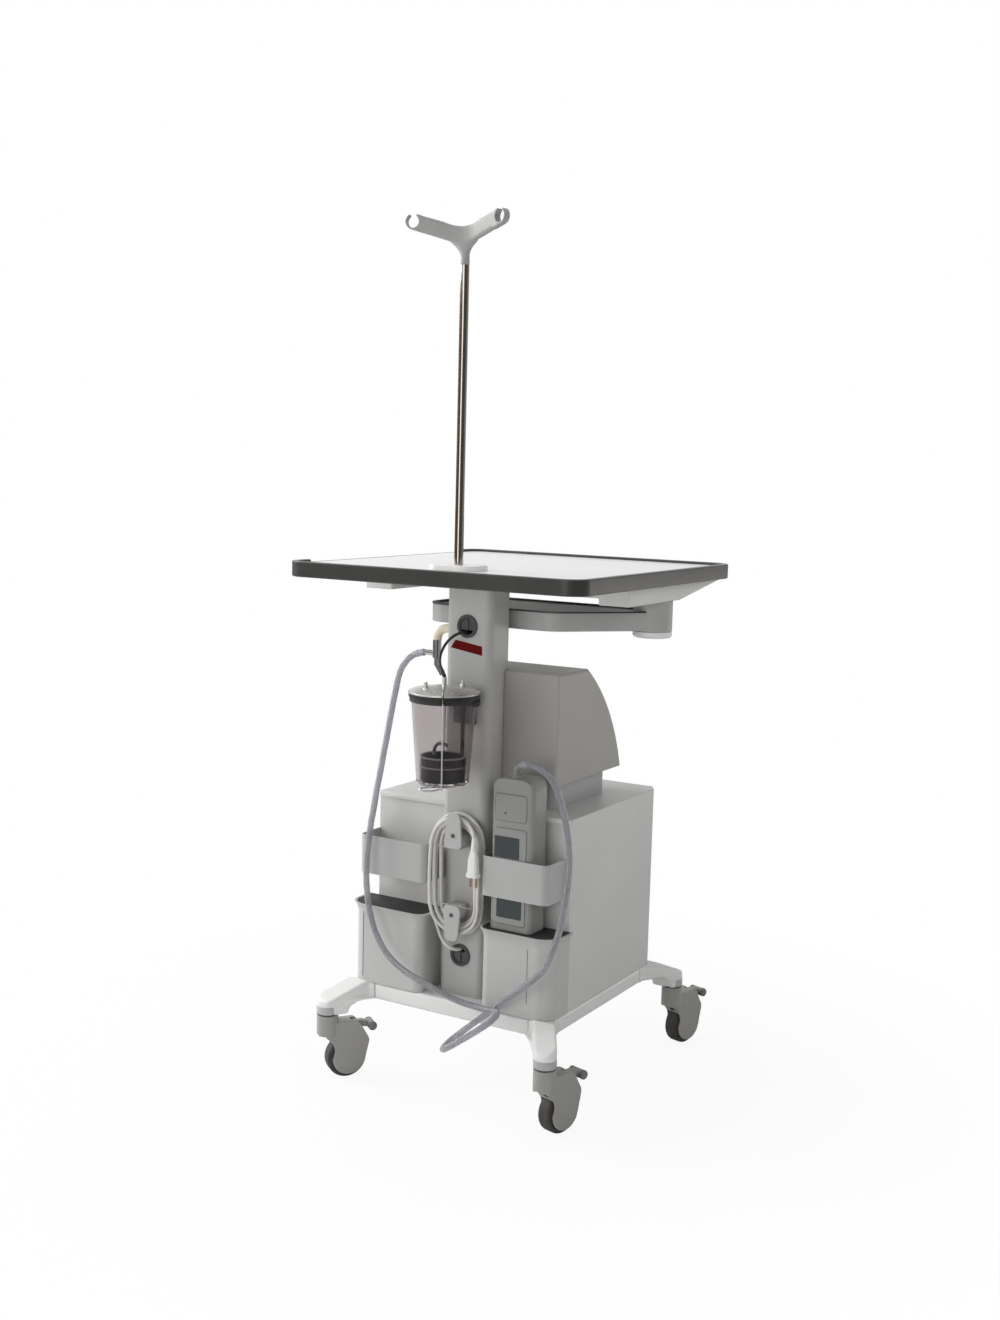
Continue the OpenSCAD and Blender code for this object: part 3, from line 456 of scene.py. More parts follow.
class Finish(Enum):
    """Every finish of the cart, each made once."""

    BODY = Coating("cabinet_powder_coat", (0.63, 0.627, 0.615), 0.42, soil=0.05)
    # The steps share the cabinet's white powder coat; this darker copy is painted shade on the
    # steps' fronts.
    STEP = Coating("step_powder_coat_painted_shade", (0.51, 0.51, 0.50), 0.44, soil=0.05)
    # The straps, cord hooks and leg collars are white; this darker grey is painted shade.
    STRAP = Coating("strap_plastic_painted_shade", (0.45, 0.45, 0.445), 0.38)
    BASE = Coating(
        "base_gloss_paint", (0.80, 0.80, 0.79), 0.28, mottle=0.008, gloss_swing=0.008,
        skin_size=0.004)
    COLUMN = Coating("column_satin_paint", (0.44, 0.438, 0.43), 0.38, soil=0.04)
    HOOD = Coating(
        "console_grained_plastic", (0.36, 0.351, 0.327), 0.50, skin_size=0.0012, skin_depth=0.00002)
    PLINTH = Coating("plinth_plastic", (0.42, 0.425, 0.44), 0.48)
    TABLE = Coating(
        "table_laminate", (0.86, 0.86, 0.855), 0.30, mottle=0.008, gloss_swing=0.008,
        skin_size=0.01, skin_depth=0.000001)
    EDGE = Coating(
        "edge_band_plastic", (0.042, 0.042, 0.040), 0.34, mottle=0.12, skin_size=0.0012,
        skin_depth=0.00001)
    TRAY = Coating("tray_plastic", (0.40, 0.40, 0.395), 0.42, skin_size=0.0008)
    GLOSS_WHITE = Coating("white_moulded_plastic", (0.82, 0.82, 0.81), 0.30, skin_size=0.0007)
    # The pump's casing is white plastic; this dark grey is painted shade from the table above it.
    PUMP = Coating("pump_casing_painted_shade", (0.29, 0.29, 0.282), 0.40, soil=0.03)
    HEAD = Coating(
        "hose_head_plastic", (0.36, 0.36, 0.355), 0.42, mottle=0.015, skin_size=0.003,
        skin_depth=0.000004)
    CASTER = Coating(
        "caster_hood_plastic", (0.33, 0.325, 0.305), 0.44, mottle=0.04, skin_size=0.0012,
        skin_depth=0.000015, soil=0.06)
    PEDAL = Coating("pedal_plastic", (0.17, 0.168, 0.16), 0.45, mottle=0.1, skin_size=0.0008)
    TYRE = Coating(
        "tyre_rubber", (0.045, 0.042, 0.039), 0.62, mottle=0.25, mottle_size=0.02, soil=0.2)
    GROMMET = Coating("grommet_plastic", (0.062, 0.062, 0.062), 0.42, mottle=0.08, skin_size=0.0008)
    MAT = RibbedRubber("step_mat_rubber", (0.014, 0.013, 0.0125))
    SEAL = Coating("seal_rubber", (0.014, 0.013, 0.013), 0.42, mottle=0.2, mottle_size=0.02)
    FLOAT = Coating(
        "float_plastic", (0.008, 0.007, 0.007), 0.40, mottle=0.15, mottle_size=0.02, shine=0.2)
    STEEL = BrushedMetal("pole_steel", (0.52, 0.50, 0.47), 0.10)
    LID = BrushedMetal("lid_steel", (0.78, 0.78, 0.75), 0.32, (1, 0.05, 1))
    CHROME = BrushedMetal("fitting_chrome", (0.55, 0.55, 0.55), 0.12)
    COPPER = BrushedMetal("pin_copper", (0.42, 0.28, 0.20), 0.30)
    SCREW = BrushedMetal("screw_steel", (0.16, 0.15, 0.14), 0.35, (1, 1, 1))
    JAR = ClearPlastic("jar_clear_plastic", (0.64, 0.60, 0.605), 0.02, index=1.3)
    CUFF = ClearPlastic("cuff_clear_plastic", (0.80, 0.82, 0.86), 0.10, 0.85, 1.42)
    HOSE = RibbedClear("hose_plastic_painted_groove_shade", (0.90, 0.90, 0.92), (0.46, 0.46, 0.50))
    CREAM = Coating("elbow_cream_rubber", (0.78, 0.71, 0.55), 0.40, skin_size=0.0008)
    SCREEN = Coating(
        "display_window", (0.026, 0.033, 0.034), 0.18, mottle=0.12, mottle_size=0.03,
        skin_depth=0.000002)
    LAMP = Coating("pilot_lamp", (0.05, 0.08, 0.05), 0.2)
    CABLE = Coating(
        "cable_black_jacket", (0.022, 0.022, 0.022), 0.40, mottle=0.15, mottle_size=0.02)
    LEAD = Coating("lead_cream_jacket", (0.68, 0.665, 0.63), 0.38, mottle=0.04, mottle_size=0.05)
    TAPE = Coating(
        "red_tape", (0.115, 0.002, 0.0015), 0.55, mottle=0.2, mottle_size=0.012, skin_size=0.004,
        skin_depth=0.00005, shine=0.08)
    GAP = Coating("joint_shadow", (0.06, 0.06, 0.06), 0.7, mottle=0.2, mottle_size=0.02)

    @property
    def material(self) -> bpy.types.Material:
        """The finish's material, built at its first use."""
        found = bpy.data.materials.get(self.value.name)
        return found if found is not None else self.value.material()


# Shapes


def only(kind: type, geom: Iterable[object]) -> list:
    """Returns those parts of an operator's result that are of one kind."""
    return [part for part in geom if isinstance(part, kind)]


class Shape:
    """A bmesh under construction, with the operators that this cart's pieces need."""

    def __init__(self) -> None:
        """Starts empty."""
        self.bm = bmesh.new()

    def add(self, other: Shape, place: Matrix | None = None) -> Shape:
        """Adds another shape, which is used up.

        Args:
            other: The shape to add.
            place: Where it goes.

        Returns:
            This shape.
        """
        if place is not None:
            bmesh.ops.transform(other.bm, matrix=place, verts=other.bm.verts[:])
        carrier = bpy.data.meshes.new("carrier")
        other.bm.to_mesh(carrier)
        other.bm.free()
        self.bm.from_mesh(carrier)
        bpy.data.meshes.remove(carrier)
        return self

    def heal(self) -> Shape:
        """Merges doubles and turns every face outwards.

        Returns:
            This shape.
        """
        bmesh.ops.remove_doubles(self.bm, verts=self.bm.verts[:], dist=1e-6)
        bmesh.ops.recalc_face_normals(self.bm, faces=self.bm.faces[:])
        return self

    def cut(self, spot: Vector, normal: Vector) -> Shape:
        """Cuts off what lies beyond a plane and closes the cut.

        Args:
            spot: A point of the plane.
            normal: The plane's normal, towards the side that goes.

        Returns:
            This shape.
        """
        made = bmesh.ops.bisect_plane(
            self.bm, geom=self.bm.verts[:] + self.bm.edges[:] + self.bm.faces[:], dist=1e-6,
            plane_co=spot, plane_no=normal, clear_outer=True)
        bmesh.ops.holes_fill(self.bm, edges=only(bmesh.types.BMEdge, made["geom_cut"]))
        return self.heal()

    def extruded(self, faces: list[bmesh.types.BMFace], reach: Vector) -> Shape:
        """Draws faces out into the shape's sides.

        Args:
            faces: The faces to draw out.
            reach: How far they move.

        Returns:
            This shape.
        """
        grown = bmesh.ops.extrude_face_region(self.bm, geom=faces)["geom"]
        bmesh.ops.translate(self.bm, vec=reach, verts=only(bmesh.types.BMVert, grown))
        return self

    def round_edges(self, width: float, segments: int = 3, sharper_than: float = 35.0,
                    where: Callable[[bmesh.types.BMEdge], bool] | None = None) -> Shape:
        """Rounds the sharp edges.

        Args:
            width: How far the rounding reaches from an edge.
            segments: Faces across a rounded edge.
            sharper_than: The least angle of a sharp edge, in degrees.
            where: Picks among the sharp edges.

        Returns:
            This shape.
        """
        self.bm.normal_update()
        limit = math.radians(sharper_than)
        joins = [e for e in self.bm.edges if len(e.link_faces) == 2]
        edges = [e for e in joins if e.calc_face_angle(0) > limit and (where is None or where(e))]
        bmesh.ops.bevel(
            self.bm, geom=edges, offset=width, offset_type="OFFSET", segments=segments, profile=0.5,
            affect="EDGES", material=-1, clamp_overlap=False, loop_slide=True)
        return self

    @classmethod
    def block(cls, size: Vector, centre: Vector, radius: float = 0.0) -> Shape:
        """A box with rounded edges.

        Args:
            size: Its width, depth and height.
            centre: Its middle.
            radius: The rounding of its edges.

        Returns:
            The shape.
        """
        made = cls()
        bmesh.ops.create_cube(
            made.bm, size=1.0, matrix=Matrix.Translation(centre) @ Matrix.Diagonal((*size, 1.0)))
        return made.round_edges(radius) if radius else made

    @classmethod
    def turned(cls, outline: Iterable[tuple[float, float]], steps: int = 40) -> Shape:
        """Spins an outline about the Z axis.

        Args:
            outline: Radius and height of each point, in millimetres, from one end to the other.
            steps: Faces round the axis.

        Returns:
            The closed shape.
        """
        made = cls()
        verts = [made.bm.verts.new((r * MM, 0, height * MM)) for r, height in outline]
        edges = [made.bm.edges.new(pair) for pair in zip(verts, verts[1:])]
        bmesh.ops.spin(
            made.bm, geom=verts + edges, cent=(0, 0, 0), axis=(0, 0, 1), dvec=(0, 0, 0),
            angle=math.tau, steps=steps, use_merge=True)
        return made.heal()

    @classmethod
    def lofted(cls, rings: Sequence[Sequence[Vector]]) -> Shape:
        """A closed shape through rings of points.

        Args:
            rings: The rings, each with the same number of points.

        Returns:
            The shape.
        """
        made = cls()
        loops = [[made.bm.verts.new(point) for point in ring] for ring in rings]
        count = len(loops[0])
        for low, high in zip(loops, loops[1:]):
            for k in range(count):
                made.bm.faces.new((low[k], low[(k + 1) % count], high[(k + 1) % count], high[k]))
        made.bm.faces.new(loops[0])
        made.bm.faces.new(loops[-1])
        return made.heal()

    @classmethod
    def of_node(cls, source: bpy.types.Object) -> Shape:
        """A merged copy of a CAD node's mesh, with its flat faces whole.

        Args:
            source: The node's object.

        Returns:
            The shape.
        """
        made = cls()
        made.bm.from_mesh(source.data)
        bmesh.ops.remove_doubles(made.bm, verts=made.bm.verts[:], dist=2e-6)
        bmesh.ops.dissolve_limit(
            made.bm, angle_limit=math.radians(0.4), use_dissolve_boundaries=False,
            verts=made.bm.verts[:], edges=made.bm.edges[:], delimit=set())
        made.bm.normal_update()
        return made

    def mesh(self, name: str, crease: float = 35.0) -> bpy.types.Mesh:
        """Writes the shape to a mesh and frees it.

        Args:
            name: The mesh's name.
            crease: Edges sharper than this stay sharp, in degrees.

        Returns:
            The mesh.
        """
        made = bpy.data.meshes.new(name)
        self.bm.to_mesh(made)
        self.bm.free()
        made.shade_smooth()
        made.set_sharp_from_angle(angle=math.radians(crease))
        return made


def smooth_route(points: Sequence[Point], step: float) -> list[Vector]:
    """A smooth curve through a route, as the CAD sweeps it.

    Args:
        points: The route's points, in millimetres.
        step: The distance between the points of the curve, in metres.

    Returns:
        The curve's points, in metres.
    """
    parts = 40
    p = [mm(*point) for point in points]
    last = len(p) - 1
    fine: list[Vector] = []
    for i in range(last):
        a, b, c, d = p[max(i - 1, 0)], p[i], p[i + 1], p[min(i + 2, last)]
        for k in range(parts):
            f = k / parts
            fine.append(0.5 * (2 * b + (c - a) * f + (2 * a - 5 * b + 4 * c - d) * f ** 2
                               + (3 * b - a - 3 * c + d) * f ** 3))
    fine.append(p[-1])
    return evenly(fine, step)


def evenly(line: Sequence[Vector], step: float) -> list[Vector]:
    """Points about step apart along a line.

    Args:
        line: The line's points.
        step: The distance wanted between points.

    Returns:
        The new points, both ends among them.
    """
    lengths = [(b - a).length for a, b in zip(line, line[1:])]
    count = max(2, round(sum(lengths) / step))
    gap = sum(lengths) / count
    made, walked, i = [line[0].copy()], 0.0, 0
    for k in range(1, count):
        while i < len(lengths) - 1 and walked + lengths[i] < k * gap:
            walked += lengths[i]
            i += 1
        made.append(line[i].lerp(line[i + 1], (k * gap - walked) / max(lengths[i], 1e-9)))
    return made + [line[-1].copy()]


def upright(line: Sequence[Vector]) -> list[Matrix]:
    """Frames along a line that turn as little as they can, with Z along the line.

    Args:
        line: The line's points.

    Returns:
        One placing matrix per point.
    """
    last = len(line) - 1
    side = Vector((0.31, 0.17, 0.93))
    made = []
    for i, point in enumerate(line):
        ahead = (line[min(i + 1, last)] - line[max(i - 1, 0)]).normalized()
        side = (side - ahead * side.dot(ahead)).normalized()
        across = ahead.cross(side)
        made.append(Matrix((
            (side.x, across.x, ahead.x, point.x), (side.y, across.y, ahead.y, point.y),
            (side.z, across.z, ahead.z, point.z), (0, 0, 0, 1))))
    return made


def swept(line: Sequence[Vector], radius: Callable[[int], float], sides: int,
          groove: Callable[[int], float] | None = None) -> Shape:
    """A tube along a line, made by drawing a ring along it in short lengths that are then joined.

    Args:
        line: The ring centres.
        radius: The tube's radius at each ring.
        sides: Faces round the tube.
        groove: What the tube's groove attribute says at each ring.

    Returns:
        The open tube.
    """
    reach = 40
    made = Shape()
    places = upright(line)
    for start in range(0, len(places) - 1, reach):
        run = Shape()
        mark = run.bm.verts.layers.float.new(GROOVE) if groove else None
        ring = bmesh.ops.create_circle(run.bm, segments=sides, radius=1.0)["verts"]
        edges = list({e for v in ring for e in v.link_edges})
        settled = Matrix.Identity(4)
        for i in range(start, min(start + reach, len(places) - 1) + 1):
            wanted = places[i] @ Matrix.Diagonal((radius(i), radius(i), 1.0, 1.0))
            if i > start:
                grown = bmesh.ops.extrude_edge_only(run.bm, edges=edges)["geom"]
                ring, edges = only(bmesh.types.BMVert, grown), only(bmesh.types.BMEdge, grown)
            bmesh.ops.transform(run.bm, matrix=wanted @ settled.inverted(), verts=ring)
            for vert in ring if groove else ():
                vert[mark] = groove(i)
            settled = wanted
        made.add(run)
    return made.heal()


def cord_curve(name: str, line: Sequence[Vector], radius: float) -> bpy.types.Curve:
    """A round cord as a curve of one open spline.

    Args:
        name: The curve's name.
        line: The cord's centreline.
        radius: Its radius.

    Returns:
        The curve.
    """
    made = bpy.data.curves.new(name, "CURVE")
    made.dimensions, made.bevel_depth, made.bevel_resolution = "3D", radius, 3
    made.use_fill_caps = True
    spline = made.splines.new("POLY")
    spline.points.add(len(line) - 1)
    for point, place in zip(spline.points, line):
        point.co = (*place, 1.0)
    spline.use_smooth = True
    return made


def placed(name: str, data: bpy.types.ID) -> bpy.types.Object:
    """Puts a new object into the scene, at the origin.

    Args:
        name: The object's name.
        data: Its mesh, curve, lamp or camera.

    Returns:
        The object.
    """
    made = bpy.data.objects.new(name, data)
    bpy.context.scene.collection.objects.link(made)
    return made


def thicken(made: bpy.types.Object, wall: float, offset: float = -1.0) -> None:
    """Gives a piece's open surface a wall.

    Args:
        made: The piece.
        wall: The wall's thickness.
        offset: Which side it lies on: -1 is inside and 0 half and half.
    """
    modifier = made.modifiers.new("wall", "SOLIDIFY")
    modifier.thickness, modifier.offset = wall, offset


def even_shading(made: bpy.types.Object) -> None:
    """Shades a piece's flat faces flat, and its rounded edges smoothly into them."""
    made.modifiers.new("even_shading", "WEIGHTED_NORMAL").keep_sharp = True


# Sub-assemblies


@dataclass
class SubAssembly:
    """Pieces of the cart that are dressed together.

    Attributes:
        nodes: The frame's CAD objects, by name.
        joints: The record's joints, by name.
        flow_passes: How often the flowing part of a casting is smoothed.
    """

    nodes: dict[str, bpy.types.Object]
    joints: dict[str, dict[str, object]]
    flow_passes: int = 40

    def dress(self, finish: Finish, *names: str) -> None:
        """Gives CAD nodes, which keep their shape, a finish.

        Args:
            finish: The finish.
            names: The nodes' names.
        """
        for name in names:
            slots = self.nodes[name].data.materials
            slots.clear()
            slots.append(finish.material)
            LOG.info("dressed %s in %s", name, finish.name)

    def piece(self, name: str, form: Shape | bpy.types.Curve, finish: Finish, slot: str,
              replaces: Sequence[str] = (), body: str = Body.CART,
              crease: float = 35.0) -> bpy.types.Object:
        """Adds a new piece to the cart.

        Args:
            name: The piece's name.
            form: Its shape, which is used up, or its curve, in place.
            finish: Its finish.
            slot: The record's material slot; not used.
            replaces: The CAD nodes that it stands for.
            body: The CAD body that it rides on.
            crease: Edges sharper than this stay sharp, in degrees.

        Returns:
            The new object.
        """
        made = placed(name, form.mesh(name, crease) if isinstance(form, Shape) else form)
        made.data.materials.append(finish.material)
        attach(made, body)
        if replaces:
            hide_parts(*replaces)
        LOG.info("built %s", name)
        return made

    def soften(self, node: str, width: float, finish: Finish, slot: str, segments: int = 3,
               where: Callable[[bmesh.types.BMEdge], bool] | None = None) -> None:
        """Replaces a CAD node by a copy with rounded edges.

        Args:
            node: The node's name.
            width: How far the rounding reaches from an edge.
            finish: The copy's finish.
            slot: The record's material slot.
            segments: Faces across a rounded edge.
            where: Picks among the sharp edges.
        """
        source = self.nodes[node]
        shape = Shape.of_node(source).round_edges(width, segments, where=where)
        even_shading(
            self.piece(f"{node}_finished", shape, finish, slot, [node], source["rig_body"]))

    def cast(self, node: str, grain: float, passes: int, finish: Finish, slot: str,
             form: Shape | None = None, flow: Callable[[Vector], bool] | None = None) -> None:
        """Replaces a CAD node by a copy with the flowing corners of a casting.

        Args:
            node: The node's name.
            grain: The size of the copy's faces.
            passes: How often the copy is smoothed.
            finish: The copy's finish.
            slot: The record's material slot.
            form: What is cast, where it isn't the node's own shape.
            flow: Picks the points that are smoothed many times more.
        """
        source = self.nodes[node]
        rough = form or Shape.of_node(source)
        work = placed("casting_work", rough.mesh("casting_work"))
        work.modifiers.new("weld", "WELD").merge_threshold = 2e-6
        remesh = work.modifiers.new("remesh", "REMESH")
        remesh.mode, remesh.voxel_size = "VOXEL", grain
        smooth = work.modifiers.new("smooth", "SMOOTH")
        smooth.factor, smooth.iterations = 0.5, passes
        graph = bpy.context.evaluated_depsgraph_get()
        mesh = bpy.data.meshes.new_from_object(work.evaluated_get(graph))
        bpy.data.objects.remove(work)
        shape = Shape()
        shape.bm.from_mesh(mesh)
        bpy.data.meshes.remove(mesh)
        soft = [v for v in shape.bm.verts if flow(v.co)] if flow else []
        for _ in range(self.flow_passes if soft else 0):
            bmesh.ops.smooth_vert(
                shape.bm, verts=soft, factor=0.5, use_axis_x=True, use_axis_y=True, use_axis_z=True)
        self.piece(
            f"{node}_finished", shape, finish, slot, [node], source["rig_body"], crease=80)


# Studio


@dataclass(frozen=True)
class Lamp:
    """A square lamp.

    Attributes:
        name: Its name.
        place: Where it hangs.
        size: Its width.
        power: Its power, in watts.
        mirrored: Whether glossy surfaces show it.
    """

    name: str
    place: Point
    size: float
    power: float
    mirrored: bool

    def hang(self, aim: Vector) -> None:
        """Hangs the lamp, turned towards a point.

        Args:
            aim: The point.
        """
        data = bpy.data.lights.new(self.name, "AREA")
        data.size, data.energy = self.size, self.power
        lamp = placed(self.name, data)
        lamp.location = self.place
        lamp.rotation_mode = "QUATERNION"
        lamp.rotation_quaternion = (aim - Vector(self.place)).to_track_quat("-Z", "Y")
        lamp.visible_glossy = self.mirrored


@dataclass(frozen=True)
class Card:
    """An upright card that only mirrors see.

    Attributes:
        name: Its name.
        bearing: Its bearing from the pole, in degrees from the cart's right to its rear.
        reach: Its distance from the pole.
        width: Its width.
        low: The height of its lower edge.
        high: The height of its upper edge.
        glow: The light that it sends out.
    """

    name: str
    bearing: float
    reach: float
    width: float
    low: float
    high: float
    glow: Colour

    def hang(self, pole: Vector) -> None:
        """Hangs the card so that it faces the pole.

        Args:
            pole: The pole's foot.
        """
        bearing = math.radians(self.bearing)
        turn = Matrix.Rotation(bearing, 4, "Z") @ Matrix.Rotation(math.pi / 2, 4, "Y")
        spot = pole + turn @ Vector((0, 0, self.reach)) + Vector((0, 0, (self.low + self.high) / 2))
        size = Matrix.Diagonal((self.high - self.low, self.width, 1.0, 1.0))
        shape = Shape()
        bmesh.ops.create_grid(
            shape.bm, x_segments=1, y_segments=1, size=0.5,
            matrix=Matrix.Translation(spot) @ turn @ size)
        card = placed(self.name, shape.mesh(self.name))
        bench = Bench(self.name)
        bench.set(
            Base_Color=(0, 0, 0, 1), Roughness=1.0, Specular_IOR_Level=0.0,
            Emission_Color=(*self.glow, 1.0), Emission_Strength=1.0)
        card.data.materials.append(bench.material)
        card.visible_camera = card.visible_diffuse = card.visible_shadow = False
        card.visible_transmission = False


@dataclass
class Studio:
    """Floor, light and camera.

    Attributes:
        eye: The camera's place.
        yaw: Its turn to the left of the rear, in degrees.
        pitch: Its tilt below the horizon, in degrees.
        roll: Its roll, in degrees.
        lens: Its focal length in millimetres, on a sensor 36 mm high.
        aim: The point that the lamps shine at.
        pole: The pole's foot, round which the cards hang.
        fill: The strength of the world's light on the cart.
        fade: Distances from the cart's middle over which the floor fades into the backdrop.
        lamps: A large soft lamp on the left and weaker ones above, on the right and in front.
        cards: The cards that give the pole its streaks.
    """

    eye: Vector = field(default_factory=lambda: mm(1449.5, -2500.6, 1147.2))
    yaw: float = 30.84
    pitch: float = 7.27
    roll: float = 1.43
    lens: float = 42.15
    aim: Vector = field(default_factory=lambda: Vector((0, 0, 0.75)))
    pole: Vector = field(default_factory=lambda: mm(0, -222, 0))
    fill: float = 0.22
    fade: tuple[float, float] = (0.4, 1.1)
    lamps: tuple[Lamp, ...] = (
        Lamp("lamp_left", (-2.8, -0.8, 2.0), 2.0, 92.0, True),
        Lamp("lamp_top", (-0.5, 0.1, 3.5), 2.2, 18.0, True),
        Lamp("lamp_right", (2.9, -0.4, 2.1), 2.0, 24.0, False),
        Lamp("lamp_front", (-0.7, -3.1, 1.1), 1.8, 24.0, False))
    cards: tuple[Card, ...] = (
        Card("flag_front", -28.5, 3.2, 5.7, -0.8, 3.2, (0.10, 0.085, 0.08)),
        Card("flag_left", -150.0, 2.4, 6.6, 0.7, 1.78, (0.13, 0.085, 0.055)),
        Card("flag_right", 42.5, 3.2, 3.6, 0.78, 3.2, (0.28, 0.28, 0.28)),
        Card("card_front", -83.0, 3.6, 1.6, 0.5, 2.4, (2.0, 1.9, 1.8)),
        Card("card_right", 57.0, 3.2, 1.8, -0.3, 0.74, (2.2, 2.15, 2.05)))

    def set_camera(self) -> None:
        """Puts the camera where the photograph was taken from."""
        yaw, pitch, roll = (math.radians(a) for a in (self.yaw, self.pitch, self.roll))
        level = math.cos(pitch)
        ahead = Vector((-math.sin(yaw) * level, math.cos(yaw) * level, -math.sin(pitch)))
        right = Vector((math.cos(yaw), math.sin(yaw), 0))
        up = right.cross(ahead)
        x = right * math.cos(roll) + up * math.sin(roll)
        y = up * math.cos(roll) - right * math.sin(roll)
        data = bpy.data.cameras.new("camera")
        data.sensor_fit, data.sensor_height, data.sensor_width = "VERTICAL", 36.0, 36.0
        data.lens, data.clip_start, data.clip_end = self.lens, 0.05, 100.0
        camera = placed("camera", data)
        camera.matrix_world = Matrix((
            (x.x, y.x, -ahead.x, self.eye.x), (x.y, y.y, -ahead.y, self.eye.y),
            (x.z, y.z, -ahead.z, self.eye.z), (0, 0, 0, 1)))
        bpy.context.scene.camera = camera

    def lay_floor(self) -> None:
        """Lays a pale floor that keeps the cart's shadow and fades into the backdrop."""
        shape = Shape()
        bmesh.ops.create_grid(
            shape.bm, x_segments=1, y_segments=1, size=30.0,
            matrix=Matrix.Translation((0, 0, -0.0004)))
        floor = placed("floor", shape.mesh("floor"))
        bench = Bench("floor_pale")
        bench.set(Base_Color=(0.86, 0.86, 0.86, 1.0), Roughness=0.9, Specular_IOR_Level=0.1)
        glow = bench.node("ShaderNodeEmission", {"Color": (1, 1, 1, 1), "Strength": 1.0})
        rays = bench.node("ShaderNodeLightPath").outputs
        seen = bench.largest(rays["Is Camera Ray"], rays["Is Transmission Ray"])
        reach = bench.node("ShaderNodeVectorMath", {0: bench.place}, operation="LENGTH")
        fade = bench.span(reach.outputs["Value"], 0.92, 1.0, *self.fade)
        share = bench.node("ShaderNodeMath", {0: seen, 1: fade}, operation="MULTIPLY").outputs[0]
        bench.give(bench.output.inputs["Surface"], bench.mixed(share, bench.shader, glow))
        floor.data.materials.append(bench.material)

    def light(self) -> None:
        """Sets a world that looks white and lights softly, and hangs the lamps and cards."""
        world = bpy.data.worlds.new("studio")
        bpy.context.scene.world = world
        world.use_nodes = True
        board = Board(world.node_tree)
        board.tree.nodes.clear()
        rays = board.node("ShaderNodeLightPath").outputs
        seen = board.largest(
            rays["Is Camera Ray"], rays["Is Glossy Ray"], rays["Is Transmission Ray"])
        fill, white = (
            board.node("ShaderNodeBackground", {"Color": (1, 1, 1, 1), "Strength": strength})
            for strength in (self.fill, 1.0))
        board.node("ShaderNodeOutputWorld", {"Surface": board.mixed(seen, fill, white)})
        for lamp in self.lamps:
            lamp.hang(self.aim)
        for card in self.cards:
            card.hang(self.pole)

    def build(self) -> None:
        """Builds the whole studio."""
        bpy.context.scene.view_settings.view_transform = "Standard"
        self.set_camera()
        self.lay_floor()
        self.light()


# Cords


@dataclass
class SuctionHose(SubAssembly):
    """The clear ribbed hose from the tee to the pump.

    Attributes:
        route: The hose's line from the tee to the pump, in millimetres.
        radius: The hose's outer radius.
        pitch: The distance from rib to rib.
        groove: The depth of the groove between ribs.
        rib: The share of that depth at each ring of one rib.
        wall: The hose's wall.
        cuff: How far a cuff stands out from the hose, and its wall.
        cuff_rings: Rings of the hose under the cuff at the tee and at the pump.
    """

    route: tuple[Point, ...] = (
        (-106, -166, 801), (-121, -166.5, 797.3), (-134.5, -168, 790), (-145, -170, 778.5),
        (-152, -173.5, 764.5), (-155, -177.5, 748), (-156, -182.5, 729), (-156.5, -190, 705),
        (-156.5, -199, 675), (-157, -208, 642), (-159, -215, 611), (-161, -221, 580),
        (-164, -227, 548), (-166, -232, 517), (-169, -237, 485), (-171, -240, 454),
        (-173, -242, 422), (-172, -245, 390), (-168, -247, 358), (-160, -250, 327),
        (-148, -253, 297), (-130, -256, 270), (-107, -259, 249), (-79, -261, 234), (-48, -264, 224),
        (-5, -263.5, 211.5), (36.5, -255, 196), (74.5, -248.5, 190), (100.5, -253, 191),
        (118, -261, 195), (130.5, -273, 198), (138.5, -288.5, 199.5), (142, -307, 198),
        (139.5, -325.5, 194), (132.5, -340.5, 187.5), (121.5, -351.5, 179), (107, -357.5, 168.5),
        (92, -357.5, 157.5), (77, -351.5, 147.5), (63, -337.5, 138.5), (52, -318, 132),
        (46.5, -299.5, 132), (46.5, -281, 135.5), (53, -263.5, 143.5), (65, -248.5, 155.5),
        (86.5, -237.5, 175), (119.5, -241.5, 203.5), (150, -254.5, 229), (179.5, -255.5, 254),
        (211, -254.5, 286), (229, -259, 323), (239, -258, 353), (246, -256, 384), (249, -253, 416),
        (251, -249, 447), (250, -245, 479), (245, -241, 510), (236, -236, 542), (224, -231, 571),
        (212, -227, 594), (195, -221, 613), (173, -214, 623.5), (150, -205, 627.2),
        (125.1, -197.2, 624.7))
    radius: float = 6.0 * MM
    pitch: float = 2.5 * MM
    groove: float = 0.6 * MM
    rib: tuple[float, ...] = (0.0, 0.5, 1.0, 0.5)
    wall: float = 1.0 * MM
    cuff: tuple[float, float] = (0.7 * MM, 0.6 * MM)
    cuff_rings: tuple[int, int] = (28, 25)

    def build(self) -> None:
        """Builds the hose and its two end cuffs."""
        rings = len(self.rib)
        line = smooth_route(self.route, self.pitch / rings)
        shape = swept(
            line, lambda i: self.radius - self.groove * self.rib[i % rings], 12,
            lambda i: self.rib[i % rings])
        hose = self.piece(
            "ribbed_hose", shape, Finish.HOSE, "hose_clear", ["suction_hose"], crease=80)
        thicken(hose, self.wall)
        at_tee, at_pump = self.cuff_rings
        cuffs = []
        for name, end in (("hose_cuff_tee", line[:at_tee]), ("hose_cuff_pump", line[-at_pump:])):
            cuff = swept(end, lambda _: self.radius + self.cuff[0], 20)
            cuffs.append(self.piece(name, cuff, Finish.CUFF, "hose_clear"))
            thicken(cuffs[-1], self.cuff[1])


